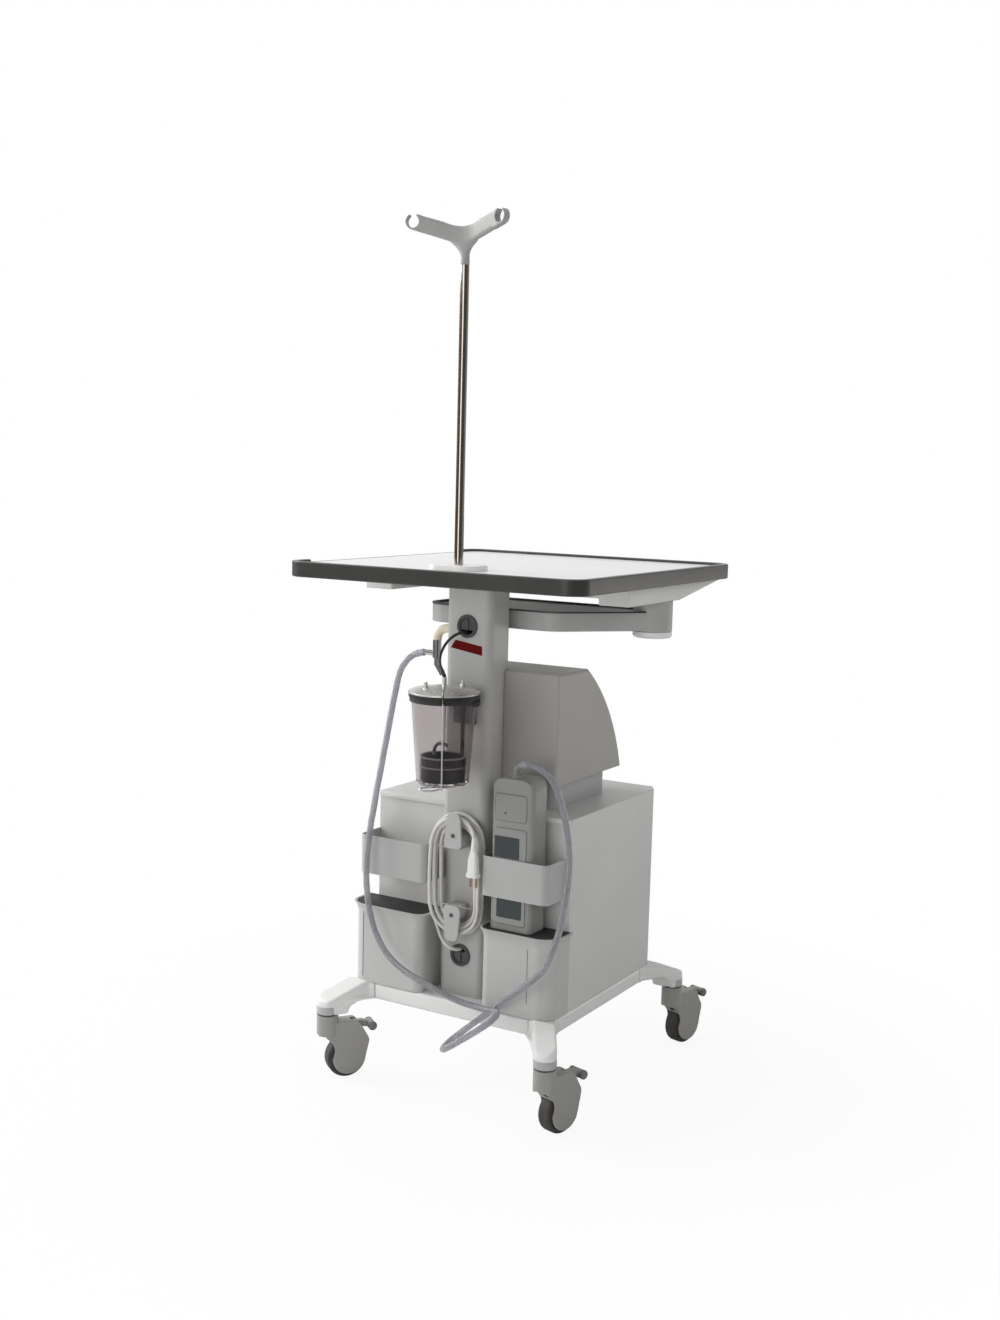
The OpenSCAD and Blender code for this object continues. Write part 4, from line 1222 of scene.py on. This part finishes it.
@dataclass
class ThinCable(SubAssembly):
    """The thin black cable from the upper grommet to the jar's lid.

    Attributes:
        route: The cable's line, in millimetres.
        radius: The cable's radius.
        sleeve_wall: The wall of the sleeve on its end.
    """

    route: tuple[Point, ...] = (
        (0, -186, 846.5), (-1, -196, 847.5), (-6, -208, 846), (-12, -220, 840), (-17, -233, 828),
        (-19, -244, 812), (-15, -252.5, 797), (-6, -258, 785), (0, -259.5, 774.8))
    radius: float = 2.5 * MM
    sleeve_wall: float = 0.4 * MM

    def build(self) -> None:
        """Builds the cable and the sleeve on its end."""
        line = smooth_route(self.route, 3 * MM)
        curve = cord_curve("jar_cable", line, self.radius)
        cable = self.piece("jar_cable", curve, Finish.CABLE, "cable_black", ["thin_cable"])
        shape = swept(line[-6:], lambda i: self.radius + (0.5 + 0.12 * i) * MM, 18)
        sleeve = self.piece("jar_cable_sleeve", shape, Finish.CABLE, "cable_black")
        thicken(sleeve, self.sleeve_wall)


@dataclass
class MainsLead(SubAssembly):
    """The cream mains lead: out of the lower grommet, six turns on the hooks and down to its plug.

    Attributes:
        radius: The lead's radius.
        lead_in: Its line from the grommet to the hank, in millimetres.
        turns: Half width, half height and depth of each turn, and how far it bows forward on the
            left, in millimetres.
        wound: How many turns lie before the lead runs out to the plug.
        middle: The height of the hank's middle, in millimetres.
        run_out: Its line from the last turn to the plug, in millimetres.
        plug: The middle of the plug's body, in millimetres.
        flange: The size of the plug's flange, in millimetres.
        flange_z: The height of the flange's middle from the plug's, in millimetres.
        sleeve_z: The height of the strain relief's foot from the plug's middle, in millimetres.
        steps: Inset and rise in millimetres, and taper, of each step of the plug above its flange.
        pin: Outline of a pin, as radius and height from the plug's middle, in millimetres.
        pin_gap: Half the distance between the pins, in millimetres.
    """

    radius: float = 3.25 * MM
    lead_in: tuple[Point, ...] = (
        (0, -186, 266), (-4, -196, 267), (-11, -203, 270), (-20, -206, 276), (-29, -205, 284),
        (-37, -202.5, 294), (-45, -200.5, 309))
    turns: tuple[tuple[float, float, float, float], ...] = (
        (52.5, 114.8, -199.5, 16), (46.0, 108.0, -194.6, 10), (39.5, 100.0, -194.2, 3),
        (34.8, 89.5, -199.6, 4), (41.2, 98.0, -206.2, 8), (47.5, 106.5, -209.0, 14),
        (47.5, 106.5, -209.0, 14))
    wound: float = 5.36
    middle: float = 407.5
    run_out: tuple[Point, ...] = (
        (15, -210.0, 511.5), (27, -212.6, 506), (36.5, -216.6, 498.6), (43, -220.8, 489.5),
        (45.7, -223.4, 479), (46, -224, 468), (46, -224, 455))
    plug: Point = (46, -224, 440)
    flange: Point = (24, 20, 7)
    flange_z: float = -20.5
    sleeve_z: float = 23.0
    steps: tuple[Point, ...] = ((2.2, 24, 0.92), (0, 14, 0.66), (0, 4, 0.8))
    pin: tuple[tuple[float, float], ...] = (
        (0, -43), (1.4, -42.8), (2.4, -40.5), (2.4, -23), (0, -23))
    pin_gap: float = 6.0

    def turn_point(self, turn: float) -> Point:
        """A point of the hank.

        Args:
            turn: How many turns lie before the point.

        Returns:
            The point, in millimetres.
        """
        whole = int(turn)
        low, high = self.turns[whole], self.turns[whole + 1]
        half_w, half_h, y, bow = (a + (b - a) * (turn - whole) for a, b in zip(low, high))
        part = (turn - whole) * 4
        bend = math.pi * (part % 1)
        rise = half_h - half_w
        if part < 1:
            x, z = -half_w, -rise + 2 * rise * part
        elif part < 2:
            x, z = -half_w * math.cos(bend), rise + half_w * math.sin(bend)
        elif part < 3:
            x, z = half_w, rise - 2 * rise * (part - 2)
        else:
            x, z = half_w * math.cos(bend), -rise - half_w * math.sin(bend)
        inside = 1 - (z / half_h) ** 2
        loose = 1 + 0.03 * math.sin(1.7 * whole + 0.6) * inside
        forward = bow * inside * (1 - x / half_w) / 2
        return x * loose, y - forward, self.middle + z

    def line(self) -> list[Vector]:
        """The whole lead's centreline.

        Returns:
            The line's points.
        """
        per_turn = 28
        count = int(self.wound * per_turn) + 1
        wound = [self.turn_point(i / per_turn) for i in range(count)]
        return smooth_route((*self.lead_in, *wound, *self.run_out), 4 * MM)

    def plug_shape(self) -> Shape:
        """The plug's body: a flange, a waist and tapered shoulders.

        Returns:
            The shape, in place.
        """
        made = Shape.block(mm(*self.flange), mm(*self.plug) + mm(0, 0, self.flange_z))
        made.round_edges(
            6.5 * MM, 5, where=lambda e: abs(e.verts[0].co.z - e.verts[1].co.z) > 5 * MM)
        for inset, rise, share in self.steps:
            made.bm.faces.ensure_lookup_table()
            top = max(
                made.bm.faces, key=lambda f: f.calc_center_median().z * (abs(f.normal.z) > 0.9))
            if inset:
                bmesh.ops.inset_individual(
                    made.bm, faces=[top], thickness=inset * MM, use_even_offset=True)
            grown = bmesh.ops.extrude_discrete_faces(made.bm, faces=[top])["faces"][0]
            bmesh.ops.translate(made.bm, vec=(0, 0, rise * MM), verts=grown.verts[:])
            bmesh.ops.scale(
                made.bm, vec=(share, share, 1), verts=grown.verts[:],
                space=Matrix.Translation(-grown.calc_center_median()))
            made.bm.normal_update()
        return made.round_edges(0.9 * MM, 3, 28)

    def strain_relief(self) -> Shape:
        """The ribbed sleeve where the lead enters the plug.

        Returns:
            The shape, in place.
        """
        outline = [(5.2, 0.0)]
        for k in range(7):
            wide, foot = 5.4 - 0.25 * k, 3.4 * k
            outline += [(wide, foot + 1.0), (wide, foot + 3.0), (wide - 0.8, foot + 3.5)]
        outline += [(3.35, 25.5), (3.3, 0.0), outline[0]]
        spot = Matrix.Translation(mm(*self.plug) + mm(0, 0, self.sleeve_z))
        return Shape().add(Shape.turned(outline, 28), spot)

    def pins(self) -> Shape:
        """The plug's two pins.

        Returns:
            The shape, in place.
        """
        made = Shape()
        for x in (-self.pin_gap, self.pin_gap):
            made.add(Shape.turned(self.pin, 20), Matrix.Translation(mm(*self.plug) + mm(x, 0, 0)))
        return made

    def build(self) -> None:
        """Builds the lead, its plug, the plug's strain relief and its pins."""
        line = self.line()
        lead = self.piece(
            "mains_lead_wound", cord_curve("mains_lead_wound", line, self.radius), Finish.LEAD,
            "lead_white", ["mains_lead", "mains_hank"])
        plug = self.piece(
            "plug_body", self.plug_shape(), Finish.GLOSS_WHITE, "white_plastic", ["mains_plug"])
        even_shading(plug)
        sleeve = self.piece(
            "plug_strain_relief", self.strain_relief(), Finish.GLOSS_WHITE, "white_plastic")
        pins = self.piece("plug_pins", self.pins(), Finish.COPPER, "chrome")


# The cart


@dataclass
class Casters(SubAssembly):
    """The four casters.

    Attributes:
        bar_place: The foot bar's place from the pedal's pin, along the trail and upwards.
        bar_half: Half the foot bar's length.
        cap: Outline of a foot bar's end cap, as radius and height in millimetres.
    """

    bar_place: tuple[float, float] = (32 * MM, -6 * MM)
    bar_half: float = 14.5 * MM
    cap: tuple[tuple[float, float], ...] = (
        (0, -3.5), (8.25, -3.5), (8.4, 0), (7.6, 2.0), (4.6, 3.1), (0, 3.4))

    def end_caps(self, place: str) -> None:
        """Puts a dark cap on both ends of a foot bar.

        Args:
            place: The caster's corner.
        """
        joint = self.joints[f"pedal_{place}"]
        pin, axle = Vector(joint["pos_m"]), Vector(joint["axis"])
        trail = Vector((axle.y, -axle.x, 0))
        middle = pin + trail * self.bar_place[0] + Vector((0, 0, self.bar_place[1]))
        shape = Shape()
        for way in (axle, -axle):
            turn = way.to_track_quat("Z", "Y").to_matrix().to_4x4()
            spot = Matrix.Translation(middle + way * self.bar_half) @ turn
            shape.add(Shape.turned(self.cap, 24), spot)
        self.piece(
            f"pedal_caps_{place}", shape, Finish.PEDAL, "dark_rubber", body=f"brake_{place}",
            crease=50)

    def build(self) -> None:
        """Dresses hoods, wheels and pedals."""
        for place in (corner.value for corner in Corner):
            self.cast(f"caster_hood_{place}", 1.1 * MM, 5, Finish.CASTER, "caster_grey")
            self.soften(f"brake_pedal_{place}", 1.0 * MM, Finish.CASTER, "caster_grey", 2)
            self.end_caps(place)
            self.dress(Finish.CASTER, f"wheel_hub_{place}")
            self.dress(Finish.TYRE, f"wheel_tyre_{place}")


@dataclass
class Base(SubAssembly):
    """The base frame and its four legs, in millimetres.

    Attributes:
        middle: The place of the base's middle, from the front to the rear.
        stem: A leg end's place from the base's middle.
        rail: How far a leg's web reaches along the rail, from its start to the leg.
        web_z: Heights of the web's foot and of the rail's underside.
        web_depth: How far the web reaches back from the leg's middle.
        web_cut: How far behind the leg's middle the web's slanted rear starts.
        leg_r: Radius of a leg's end.
        inside: Half width, front and rear of the frame's inside, whose edges stay sharp.
    """

    middle: float = -20.0
    stem: tuple[float, float] = (232.0, 258.0)
    rail: tuple[float, float] = (160.0, 212.0)
    web_z: tuple[float, float] = (128.0, 150.0)
    web_depth: float = 58.0
    web_cut: float = 52.0
    leg_r: float = 20.0
    inside: tuple[float, float, float] = (200.0, -223.0, 183.0)

    def place(self, corner: Corner) -> Matrix:
        """The matrix that takes a front right leg to its corner.

        Args:
            corner: The corner.

        Returns:
            The matrix.
        """
        side = -1 if corner in (Corner.FRONT_LEFT, Corner.REAR_LEFT) else 1
        end = -1 if corner in (Corner.REAR_LEFT, Corner.REAR_RIGHT) else 1
        return Matrix.Translation(mm(0, self.middle, 0)) @ Matrix.Diagonal((side, end, 1, 1))

    def web(self) -> Shape:
        """The hollow curve in which the rail runs down into a front right leg.

        Returns:
            The shape, from the base's middle.
        """
        start, end = self.rail
        foot, top = self.web_z
        y = -self.stem[1]
        outline = [mm(start, y, top + 3)]
        for part in (k / 8 for k in range(9)):
            outline.append(mm(start + (end - start) * part, y, top - (top - foot) * part ** 2.4))
        outline += [mm(end + 10, y, foot), mm(end + 10, y, top + 3)]
        shape = Shape()
        face = shape.bm.faces.new([shape.bm.verts.new(point) for point in outline])
        shape.extruded([face], mm(0, self.web_depth, 0))
        rear = mm(start, y + self.web_cut, 0)
        slant = (mm(self.stem[0] - self.leg_r, y, 0) - rear).normalized()
        return shape.cut(rear, slant.cross(Vector((0, 0, 1))))

    def rings(self) -> None:
        """Puts a collar with a dark ring round the end of each leg, above its caster; the collar's
        grey is painted shade on the white leg.
        """
        for name, low, high, proud, finish, slot in (
                ("leg_rings", 123.3, 125.6, 0.2, Finish.GAP, "dark_rubber"),
                # The collar is the base's white painted grey, as painted shade on the legs' feet.
                ("leg_collars_painted_shade", 125.6, 140.0, 0.5, Finish.STRAP, "base_white")):
            r = self.leg_r + proud
            outline = [(r - 2, low), (r - 0.2, low), (r, low + 0.4), (r, high - 1), (r - 0.6, high),
                       (r - 2, high), (r - 2, low)]
            shape = Shape()
            for corner in Corner:
                spot = self.place(corner) @ mm(self.stem[0], -self.stem[1], 0)
                shape.add(Shape.turned(outline, 48), Matrix.Translation(spot))
            self.piece(name, shape, finish, slot, crease=50)

    def build(self) -> None:
        """Dresses the frame and rounds the leg castings."""
        side, front, rear = mm(*self.inside)
        self.soften(
            "base_frame", 7.0 * MM, Finish.BASE, "base_white", 5,
            lambda edge: all(abs(v.co.x) > side or not front < v.co.y < rear for v in edge.verts))
        for corner in Corner:
            form = Shape.of_node(self.nodes[f"leg_{corner.value}"])
            if corner in (Corner.FRONT_LEFT, Corner.FRONT_RIGHT):
                form.add(Shape().add(self.web(), self.place(corner)).heal())
            self.cast(f"leg_{corner.value}", 2.0 * MM, 24, Finish.BASE, "base_white", form)
        self.rings()


@dataclass
class Cabinet(SubAssembly):
    """The cabinet with its steps, mats and straps, in millimetres.

    Attributes:
        lip: Size of the rolled edge on one side of the column.
        lip_place: Its middle on the right.
        seam: Width and depth of the joint in a step's front.
        seam_y: Its place from the front to the rear.
        seams: Place across, foot and top of each joint.
    """

    lip: Point = (156, 5.4, 10)
    lip_place: Point = (127, -157.9, 523.9)
    seam: tuple[float, float] = (0.9, 0.5)
    seam_y: float = -224.05
    seams: tuple[Point, ...] = ((-192, 189, 322), (161, 206, 304))

    def front_lip(self) -> None:
        """Adds the rolled edge along the top of the front wall, on both sides of the column."""
        shape = Shape()
        x, y, z = self.lip_place
        for side in (-1, 1):
            shape.add(Shape.block(mm(*self.lip), mm(side * x, y, z), 2.4 * MM))
        self.piece("cabinet_front_lip", shape, Finish.BODY, "body_white", crease=50)

    def step_seams(self) -> None:
        """Draws the upright joint in each step's front."""
        shape = Shape()
        for x, low, high in self.seams:
            spot = mm(x, self.seam_y, (low + high) / 2)
            shape.add(Shape.block(mm(*self.seam, high - low), spot, 0.2 * MM))
        self.piece("step_seams", shape, Finish.GAP, "dark_rubber")

    def build(self) -> None:
        """Dresses the cabinet's pieces."""
        self.front_lip()
        self.step_seams()
        self.soften("cabinet_shell", 1.0 * MM, Finish.BODY, "body_white")
        low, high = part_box("rear_panel")

        def outer(edge: bmesh.types.BMEdge) -> bool:
            """Tells whether an edge lies on the rear panel's outline, away from its vents.

            Args:
                edge: An edge of the panel.

            Returns:
                True on the outline.
            """
            return all(
                min(v.co.x - low[0], high[0] - v.co.x, v.co.z - low[2], high[2] - v.co.z) < 2 * MM
                for v in edge.verts)

        self.soften("rear_panel", 1.0 * MM, Finish.BODY, "body_white", where=outer)
        # The steps get the darker copy of the cabinet's white, as painted shade.
        for side in ("left", "right"):
            self.soften(f"step_{side}", 0.9 * MM, Finish.STEP, "body_white")
        # The straps get the darker grey, as painted shade.
        for side in ("left", "right"):
            self.soften(f"strap_{side}", 0.8 * MM, Finish.STRAP, "body_white")
        self.soften("step_mats", 0.8 * MM, Finish.MAT, "dark_rubber")


@dataclass
class ColumnSet(SubAssembly):
    """The column with its grommets, hooks and tape, in millimetres.

    Attributes:
        tape_low: The left and right end of the tape's lower edge.
        tape_high: The left and right end of its upper edge.
        tape_wall: The tape's thickness, and how far it wrinkles.
        screws: The places of the screws in the hooks' tongues.
        screw: Outline of a socket screw's head, as radius and height.
    """

    tape_low: tuple[Point, Point] = ((-34.2, -188.35, 817.7), (31.5, -188.35, 807.8))
    tape_high: tuple[Point, Point] = ((-24.4, -188.35, 832.3), (31.0, -188.35, 824.0))
    tape_wall: tuple[float, float] = (0.2, 0.18)
    screws: tuple[Point, ...] = ((0, -222, 484), (0, -222, 338))
    screw: tuple[tuple[float, float], ...] = (
        (0, 0.2), (1.6, 0.2), (1.9, 1.4), (3.4, 1.4), (4.0, 0.8), (4.0, -0.6), (0, -0.6))

    def tape(self) -> None:
        """Lays the strip of red tape on the column's front, askew and a little wrinkled."""
        shape = Shape()
        low, high = ([mm(*end) for end in edge] for edge in (self.tape_low, self.tape_high))
        wall, depth = self.tape_wall
        bmesh.ops.create_grid(shape.bm, x_segments=40, y_segments=12, size=0.5)
        for v in shape.bm.verts:
            u, w = v.co.x + 0.5, v.co.y + 0.5
            wrinkle = depth * MM * math.sin(31 * u + 5 * w) * math.sin(9 * w + 11 * u)
            spot = low[0].lerp(low[1], u).lerp(high[0].lerp(high[1], u), w)
            v.co = spot - Vector((0, abs(wrinkle), 0))
        made = self.piece("column_tape", shape, Finish.TAPE, "dark_rubber", crease=80)
        thicken(made, wall * MM, 0.0)

    def hook_screws(self) -> None:
        """Sets a socket screw in each hook's tongue."""
        shape = Shape()
        for place in self.screws:
            turn = Matrix.Rotation(math.pi / 2, 4, "X")
            shape.add(Shape.turned(self.screw, 24), Matrix.Translation(mm(*place)) @ turn)
        self.piece("hook_screws", shape, Finish.SCREW, "steel", crease=30)

    def build(self) -> None:
        """Dresses the column and adds the tape and screws."""
        self.dress(Finish.COLUMN, "column")
        self.dress(Finish.GROMMET, "cable_grommets")
        self.soften("grommet_caps", 0.6 * MM, Finish.GROMMET, "dark_rubber", 2)
        # The hooks get the straps' darker grey, as painted shade.
        self.soften("cord_hooks", 1.4 * MM, Finish.STRAP, "white_plastic")
        self.tape()
        self.hook_screws()


@dataclass
class Console(SubAssembly):
    """The console's plinth and hood."""

    def build(self) -> None:
        """Dresses the plinth and rounds the hood's outer edges."""
        self.soften("console_plinth", 1.0 * MM, Finish.PLINTH, "plinth_grey")
        low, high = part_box("console_hood")

        def outer(edge: bmesh.types.BMEdge) -> bool:
            """Tells whether an edge lies on the hood's outside, above its rim.

            Args:
                edge: An edge of the hood.

            Returns:
                True on the outside.
            """
            spots = [v.co for v in edge.verts]
            on_side = all(min(p.x - low.x, high.x - p.x) < 0.1 * MM for p in spots)
            on_front = all(p.y - low.y < 0.1 * MM for p in spots)
            on_top = all(high.z - p.z < 0.1 * MM for p in spots)
            above = any(p.z > low.z + 5 * MM for p in spots)
            return above and (on_side + on_front + on_top >= 1) and not (
                on_front and not on_side and not on_top)

        self.soften("console_hood", 5.0 * MM, Finish.HOOD, "hood_grey", 4, outer)


@dataclass
class TableSet(SubAssembly):
    """The table and the tray under it.

    Attributes:
        liner_wall: Thickness of the tray liner's wall.
        liner_rise: Height of the tray liner's wall.
        pan_sharp: The height from which the edges of the tray's pan stay sharp.
    """

    liner_wall: float = 1.4 * MM
    liner_rise: float = 26.0 * MM
    pan_sharp: float = 852.0 * MM

    def liner(self) -> None:
        """Turns the flat liner of the tray into a dish."""
        shape = Shape.of_node(self.nodes["tray_liner"])
        tops = [face for face in shape.bm.faces if face.normal.z > 0.9]
        rim = bmesh.ops.inset_region(
            shape.bm, faces=tops, thickness=self.liner_wall, use_even_offset=True)["faces"]
        shape.extruded(rim, Vector((0, 0, self.liner_rise)))
        bmesh.ops.delete(shape.bm, geom=rim, context="FACES_ONLY")
        self.piece(
            "tray_liner_dish", shape.heal(), Finish.GLOSS_WHITE, "white_plastic", ["tray_liner"],
            Body.TRAY)

    def build(self) -> None:
        """Dresses the table and the tray."""
        self.dress(Finish.TABLE, "table_panel")
        self.soften("table_edge", 2.4 * MM, Finish.EDGE, "edge_dark", 4)
        self.soften("table_frame", 2.5 * MM, Finish.BODY, "body_white")
        self.soften(
            "tray_pan", 1.6 * MM, Finish.TRAY, "tray_grey",
            where=lambda edge: max(v.co.z for v in edge.verts) < self.pan_sharp)
        self.dress(Finish.EDGE, "tray_rim")
        self.liner()
        self.soften("tray_cap", 2.0 * MM, Finish.GLOSS_WHITE, "white_plastic")
        self.dress(Finish.STEEL, "tray_post")


@dataclass
class HoseStand(SubAssembly):
    """The pole with its foot and its Y-shaped head, in millimetres.

    Attributes:
        axis: The pole's place, from the front to the rear.
        fork: Height of the fork's middle.
        sweep: How far an arm runs forwards and upwards for each millimetre that it runs sideways.
        bend: Half the length over which one arm bends into the other.
        arm: Half an arm's thickness and half its height.
        reach: How far the crossing reaches into an arm.
        arm_start: Where an arm of the CAD head takes over from the crossing.
        arm_end: Where an arm meets its ring, which isn't smoothed as much.
        spigot: Radius of the neck's stem inside the pole.
        spigot_z: Heights of that stem's ends, from the fork's middle.
        neck_r: Radius of the neck at the pole's end, and how much wider and flatter it grows.
        neck_z: Heights of the ends of the neck's straight part, from the fork's middle.
        flare_z: The height from which it widens, from the fork's middle.
        neck_lean: How far it leans forwards at its widest.
        neck_foot: How far below the fork's middle the neck starts to flow.
    """

    axis: float = -222.0
    fork: float = 1526.0
    sweep: tuple[float, float] = (-0.315, 0.306)
    bend: float = 26.0
    arm: tuple[float, float] = (6.8, 14.4)
    reach: int = 38
    arm_start: float = 34.0
    arm_end: float = 73.0
    spigot: float = 5.9
    spigot_z: tuple[float, float] = (-86.0, -46.0)
    neck_r: tuple[float, float, float] = (8.0, 15.0, 1.6)
    neck_z: tuple[float, float] = (-45.8, -36.0)
    flare_z: float = -34.0
    neck_lean: float = 3.5
    neck_foot: float = 38.0

    def crossing(self) -> Shape:
        """The middle of the head, where the arms bend into each other.

        Returns:
            The shape, in place.
        """
        rings = []
        half, tall = self.arm
        for x in range(-self.reach, self.reach + 1, 2):
            run = abs(x) if abs(x) > self.bend else (x * x / self.bend + self.bend) / 2
            y, z = self.axis + self.sweep[0] * run, self.fork + self.sweep[1] * run
            rings.append([mm(x, y + half, z - tall), mm(x, y - half, z - tall),
                          mm(x, y - half, z + tall), mm(x, y + half, z + tall)])
        return Shape.lofted(rings)

    def neck(self) -> Shape:
        """The neck that stands in the pole and widens into the arms.

        Returns:
            The shape, in place.
        """
        sizes = [(z, self.spigot, self.spigot, self.axis) for z in self.spigot_z]
        r, wider, flatter = self.neck_r
        rows = [(z, 0) for z in self.neck_z]
        rows += [(self.flare_z + 2 * k, 0.09 * k) for k in range(14)]
        for z, flare in rows:
            full = min(flare, 1)
            y = self.axis - self.neck_lean * full
            sizes.append((z, r + wider * flare ** 2, r - flatter * full, y))
        turns = [math.tau * k / 32 for k in range(32)]
        return Shape.lofted([
            [mm(wide * math.cos(a), y + deep * math.sin(a), self.fork + z) for a in turns]
            for z, wide, deep, y in sizes])

    def head(self) -> None:
        """Replaces the head by a copy whose arms flow into each other and into the neck."""
        form = self.crossing().add(self.neck())
        for side in (-1, 1):
            arm = Shape.of_node(self.nodes["hose_head"])
            form.add(arm.cut(mm(side * self.arm_start, 0, 0), Vector((-side, 0, 0))))
        end, foot = self.arm_end * MM, (self.fork - self.neck_foot) * MM
        self.cast(
            "hose_head", 1.0 * MM, 9, Finish.HEAD, "head_grey", form,
            lambda spot: abs(spot.x) < end and spot.z > foot)

    def build(self) -> None:
        """Dresses the stand."""
        self.soften("pole_foot", 2.0 * MM, Finish.GLOSS_WHITE, "white_plastic")
        self.dress(Finish.STEEL, "pole")
        self.head()


@dataclass
class JarSet(SubAssembly):
    """The suction jar, its lid and its fittings, in millimetres.

    Attributes:
        axis: The jar's place, from the front to the rear.
        cup: Radius, foot and top of the float's cup.
        skirt: Outline of the seal's skirt, as radius and height.
        spout: The spout's line from the jar's axis and the cup's top.
        spout_r: The spout's radius.
    """

    axis: float = -259.5
    cup: tuple[float, float, float] = (39.5, 593.0, 635.0)
    skirt: tuple[tuple[float, float], ...] = (
        (58.2, 732.5), (60.4, 732.5), (60.8, 733.2), (60.8, 741), (58.2, 741))
    spout: tuple[Point, ...] = ((-22, 4, -1), (-21, 4, 10), (-15, 4, 19), (-4, 4, 21), (6, 4, 18))
    spout_r: float = 3.2

    def hoops(self, name: str, finish: Finish,
              *outlines: Sequence[tuple[float, float]]) -> None:
        """Adds dark hoops round the jar's axis.

        Args:
            name: The piece's name.
            finish: Its finish.
            outlines: Each hoop's outline, as radius and height in millimetres.
        """
        shape = Shape()
        for outline in outlines:
            ring = Shape.turned([*outline, outline[0]], 64)
            shape.add(ring, Matrix.Translation(mm(0, self.axis, 0)))
        self.piece(name, shape, finish, "dark_rubber", crease=50)

    def float_rings(self) -> None:
        """Puts the pale rings round the float's cup, at its top and above its foot."""
        r, foot, top = self.cup
        spans = ((top - 1.2, top + 1.6), (foot + 24, foot + 26.5))
        self.hoops("float_rings", Finish.PEDAL, *(
            [(r - 1.5, low), (r + 1.1, low), (r + 1.4, (low + high) / 2), (r + 1.1, high),
             (r - 1.5, high)] for low, high in spans))

    def float_spout(self) -> None:
        """Adds the bent spout on top of the float's cup."""
        route = [(x, self.axis + y, self.cup[2] + z) for x, y, z in self.spout]
        line = evenly(smooth_route(route, 1 * MM), 1.5 * MM)
        shape = swept(line, lambda _: self.spout_r * MM, 16)
        self.piece("float_spout", shape, Finish.GROMMET, "dark_rubber", crease=60)

    def build(self) -> None:
        """Dresses the jar and its fittings."""
        self.float_rings()
        self.hoops("seal_skirt", Finish.SEAL, self.skirt)
        self.float_spout()
        self.soften("jar_lid", 0.8 * MM, Finish.LID, "steel", 2)
        self.dress(Finish.JAR, "jar")
        self.dress(Finish.SEAL, "jar_seal", "jar_bracket")
        self.dress(Finish.FLOAT, "jar_float")
        self.dress(Finish.CHROME, "jar_bail", "suction_tee")
        self.dress(Finish.CREAM, "suction_elbow")


@dataclass
class PumpSet(SubAssembly):
    """The vacuum pump, in millimetres.

    Attributes:
        lamp: Outline of its pilot lamp, as radius and height.
        lamp_place: The lamp's place.
    """

    lamp: tuple[tuple[float, float], ...] = (
        (0, 0.9), (1.2, 0.7), (1.9, 0), (1.9, -0.8), (0, -0.8))
    lamp_place: Point = (105.7, -218, 539.5)

    def build(self) -> None:
        """Dresses the pump and its windows, and adds its lamp."""
        # The white casing is painted dark grey, as painted shade under the table.
        self.soften("pump_body", 1.6 * MM, Finish.PUMP, "white_plastic")
        self.soften("pump_screens", 0.3 * MM, Finish.SCREEN, "screen", 2)
        spot = Matrix.Translation(mm(*self.lamp_place)) @ Matrix.Rotation(math.pi / 2, 4, "X")
        shape = Shape().add(Shape.turned(self.lamp, 24), spot)
        self.piece("pump_lamp", shape, Finish.LAMP, "screen", crease=50)


def main() -> None:
    """Builds the studio and the cart's looks, piece by piece."""
    logging.basicConfig(level=logging.INFO, format="%(message)s")
    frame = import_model()
    joints = {joint["name"]: joint for joint in frame["joints"]}
    Studio().build()
    for group in (SuctionHose, ThinCable, MainsLead, Base, Casters, Cabinet, ColumnSet, Console,
                  TableSet, HoseStand, JarSet, PumpSet):
        group(frame["nodes"], joints).build()


if __name__ == "__main__":
    main()
